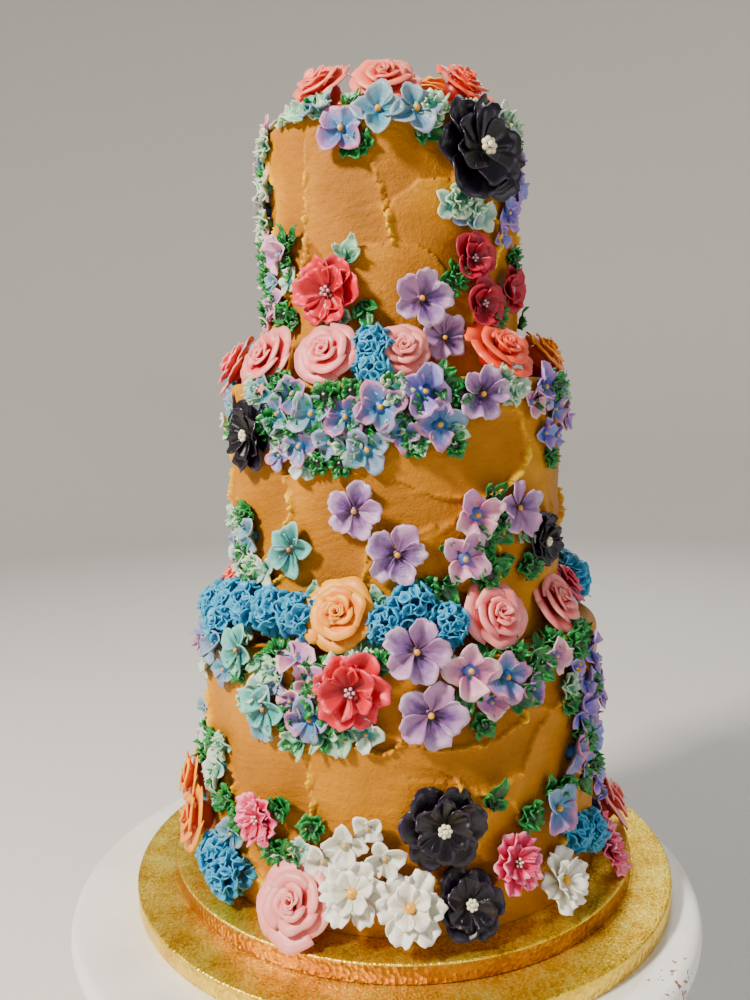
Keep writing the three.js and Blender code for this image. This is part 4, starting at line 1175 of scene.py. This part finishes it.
# The leaves
# Green and mint leaves from the leaf nozzle fill the gaps between the flowers.
# Each has three pointed lobes, with a fold down the middle of each and ripples along its sides.
# Their az, z, length and direction, where 0 points right and 90 up.
GREEN_LEAVES = {
    "top": [
        (-15, 430, 12, -60), (15, 438, 14, -30), (-50, 388, 13, 70), (-49, 372, 12, -80),
        (-10, 341, 14, -60), (24, 357, 12, 40),
        (-48, 465, 11, 160), (-16, 463, 11, 60), (-60, 386, 10, 120), (-46, 390, 10, 60), (-48, 340, 12, 200),
        (-81, 391, 10, 100), (-81, 438, 10, 80), (-73, 448, 10, 200), (-50, 373, 9, -40), (74, 445, 10, -60),
        (82, 343, 11, 80),
    ],
    "mid": [
        (-37, 301, 13, -70), (0, 300, 13, 20), (15, 300, 14, -20), (31, 240, 12, 40),
        (31, 216, 13, -40), (29, 199, 15, 20), (15, 187, 14, -60), (-53, 229, 12, 90),
        (-35, 305, 10, 150), (-28, 295, 10, 90), (0, 308, 10, 30), (15, 311, 11, 60), (11, 294, 10, -70),
        (-36, 272, 11, 200), (-22, 276, 11, 80), (-3, 273, 11, -30), (-11, 280, 10, 100), (-18, 298, 10, 60),
        (50, 291, 11, -20), (30, 236, 9, 80), (15, 210, 10, 170), (33, 199, 11, -60),
    ],
    "low": [
        (-20, 148, 14, 20), (16, 134, 13, -90), (36, 148, 17, 10), (31, 129, 14, -20),
        (-67, 70, 12, 60), (-30, 70, 15, 40), (-28, 42, 15, 80), (23, 78, 15, 60), (56, 64, 14, -60),
        (-20, 154, 10, 60), (-35, 149, 11, 200), (-24, 138, 10, -60), (22, 160, 11, 60), (16, 139, 10, 180),
        (38, 157, 11, 80), (30, 149, 10, -60), (65, 161, 12, 40), (22, 140, 10, -90), (-27, 108, 11, 200),
        (-18, 112, 11, -60), (-67, 88, 10, 160), (-31, 68, 11, 100), (57, 63, 11, 20), (40, 73, 12, 90),
        (-57, 52, 11, 120), (-68, 91, 9, 60),
    ],
}
MINT_LEAVES = {
    "top": [
        (-41, 455, 13, 190), (-17, 378, 15, 70), (-18, 474, 11, 60), (-30, 457, 11, 120), (20, 463, 11, 60),
        (16, 439, 12, -60), (55, 460, 11, 40), (69, 456, 11, 10),
    ],
    "mid": [
        (-36, 270, 12, 230), (18, 273, 12, -30), (7, 268, 12, -80), (0, 280, 10, 60), (-14, 281, 10, 200),
        (79, 298, 12, 10), (43, 213, 11, -60), (-26, 186, 13, 80), (-6, 186, 12, 100),
    ],
    "low": [
        (-35, 146, 14, -80), (-27, 106, 13, 210), (-17, 110, 14, -60), (-7, 167, 12, 20), (-3, 153, 12, -60),
        (12, 162, 12, 30), (-13, 111, 12, -90), (-28, 40, 13, 70), (-59, 54, 12, 120), (-77, 25, 12, 60),
        (-73, 68, 12, 90),
    ],
}
LEAF_WIDTH = 0.3  # half a lobe's width, as a share of the leaf's length
LEAF_LOBES = ((0, 1.0), (52, 0.66), (-52, 0.66))  # each lobe's turn and length
LEAF_SCALE = 1.15


def leaf_lobe(turned_by, length):
    """One of a leaf's three pointed lobes."""

    def bend(_, chance):
        phase = chance.uniform(0, tau)
        lift = chance.uniform(0.16, 0.4)
        angle = radians(turned_by + chance.uniform(-12, 12))
        reach = length * chance.uniform(0.85, 1.1)

        def shape(u, v):
            half = LEAF_WIDTH * length * max(0.04, sin(pi * min(0.98, v**0.85))) ** 0.8
            forward = reach * v
            ripple = 0.08 * sin(11 * v + phase) * abs(u) + 0.03 * sin(17 * v + phase)
            up = 0.06 + lift * v**1.5 + 0.16 * abs(u) * (1 - 0.5 * v) + ripple
            x = forward * cos(angle) - half * u * sin(angle) - 0.45
            return x, forward * sin(angle) + half * u * cos(angle), up

        return shape

    return {"count": 1, "bend": bend, "shift": 0.0, "grid": (6, 8)}


for leaves, icing, label in ((GREEN_LEAVES, GREEN, "green"), (MINT_LEAVES, PALE_MINT, "mint")):
    for key, spots in leaves.items():
        places = [on_side(key, az, z, size * LEAF_SCALE, turn) for az, z, size, turn in spots]
        mesh = bmesh.new()
        pipe(mesh, [leaf_lobe(*lobe) for lobe in LEAF_LOBES], places, random.Random(label + key))
        piece(f"leaves_{key}_{label}", mesh, [icing], [f"tier_{key}"])
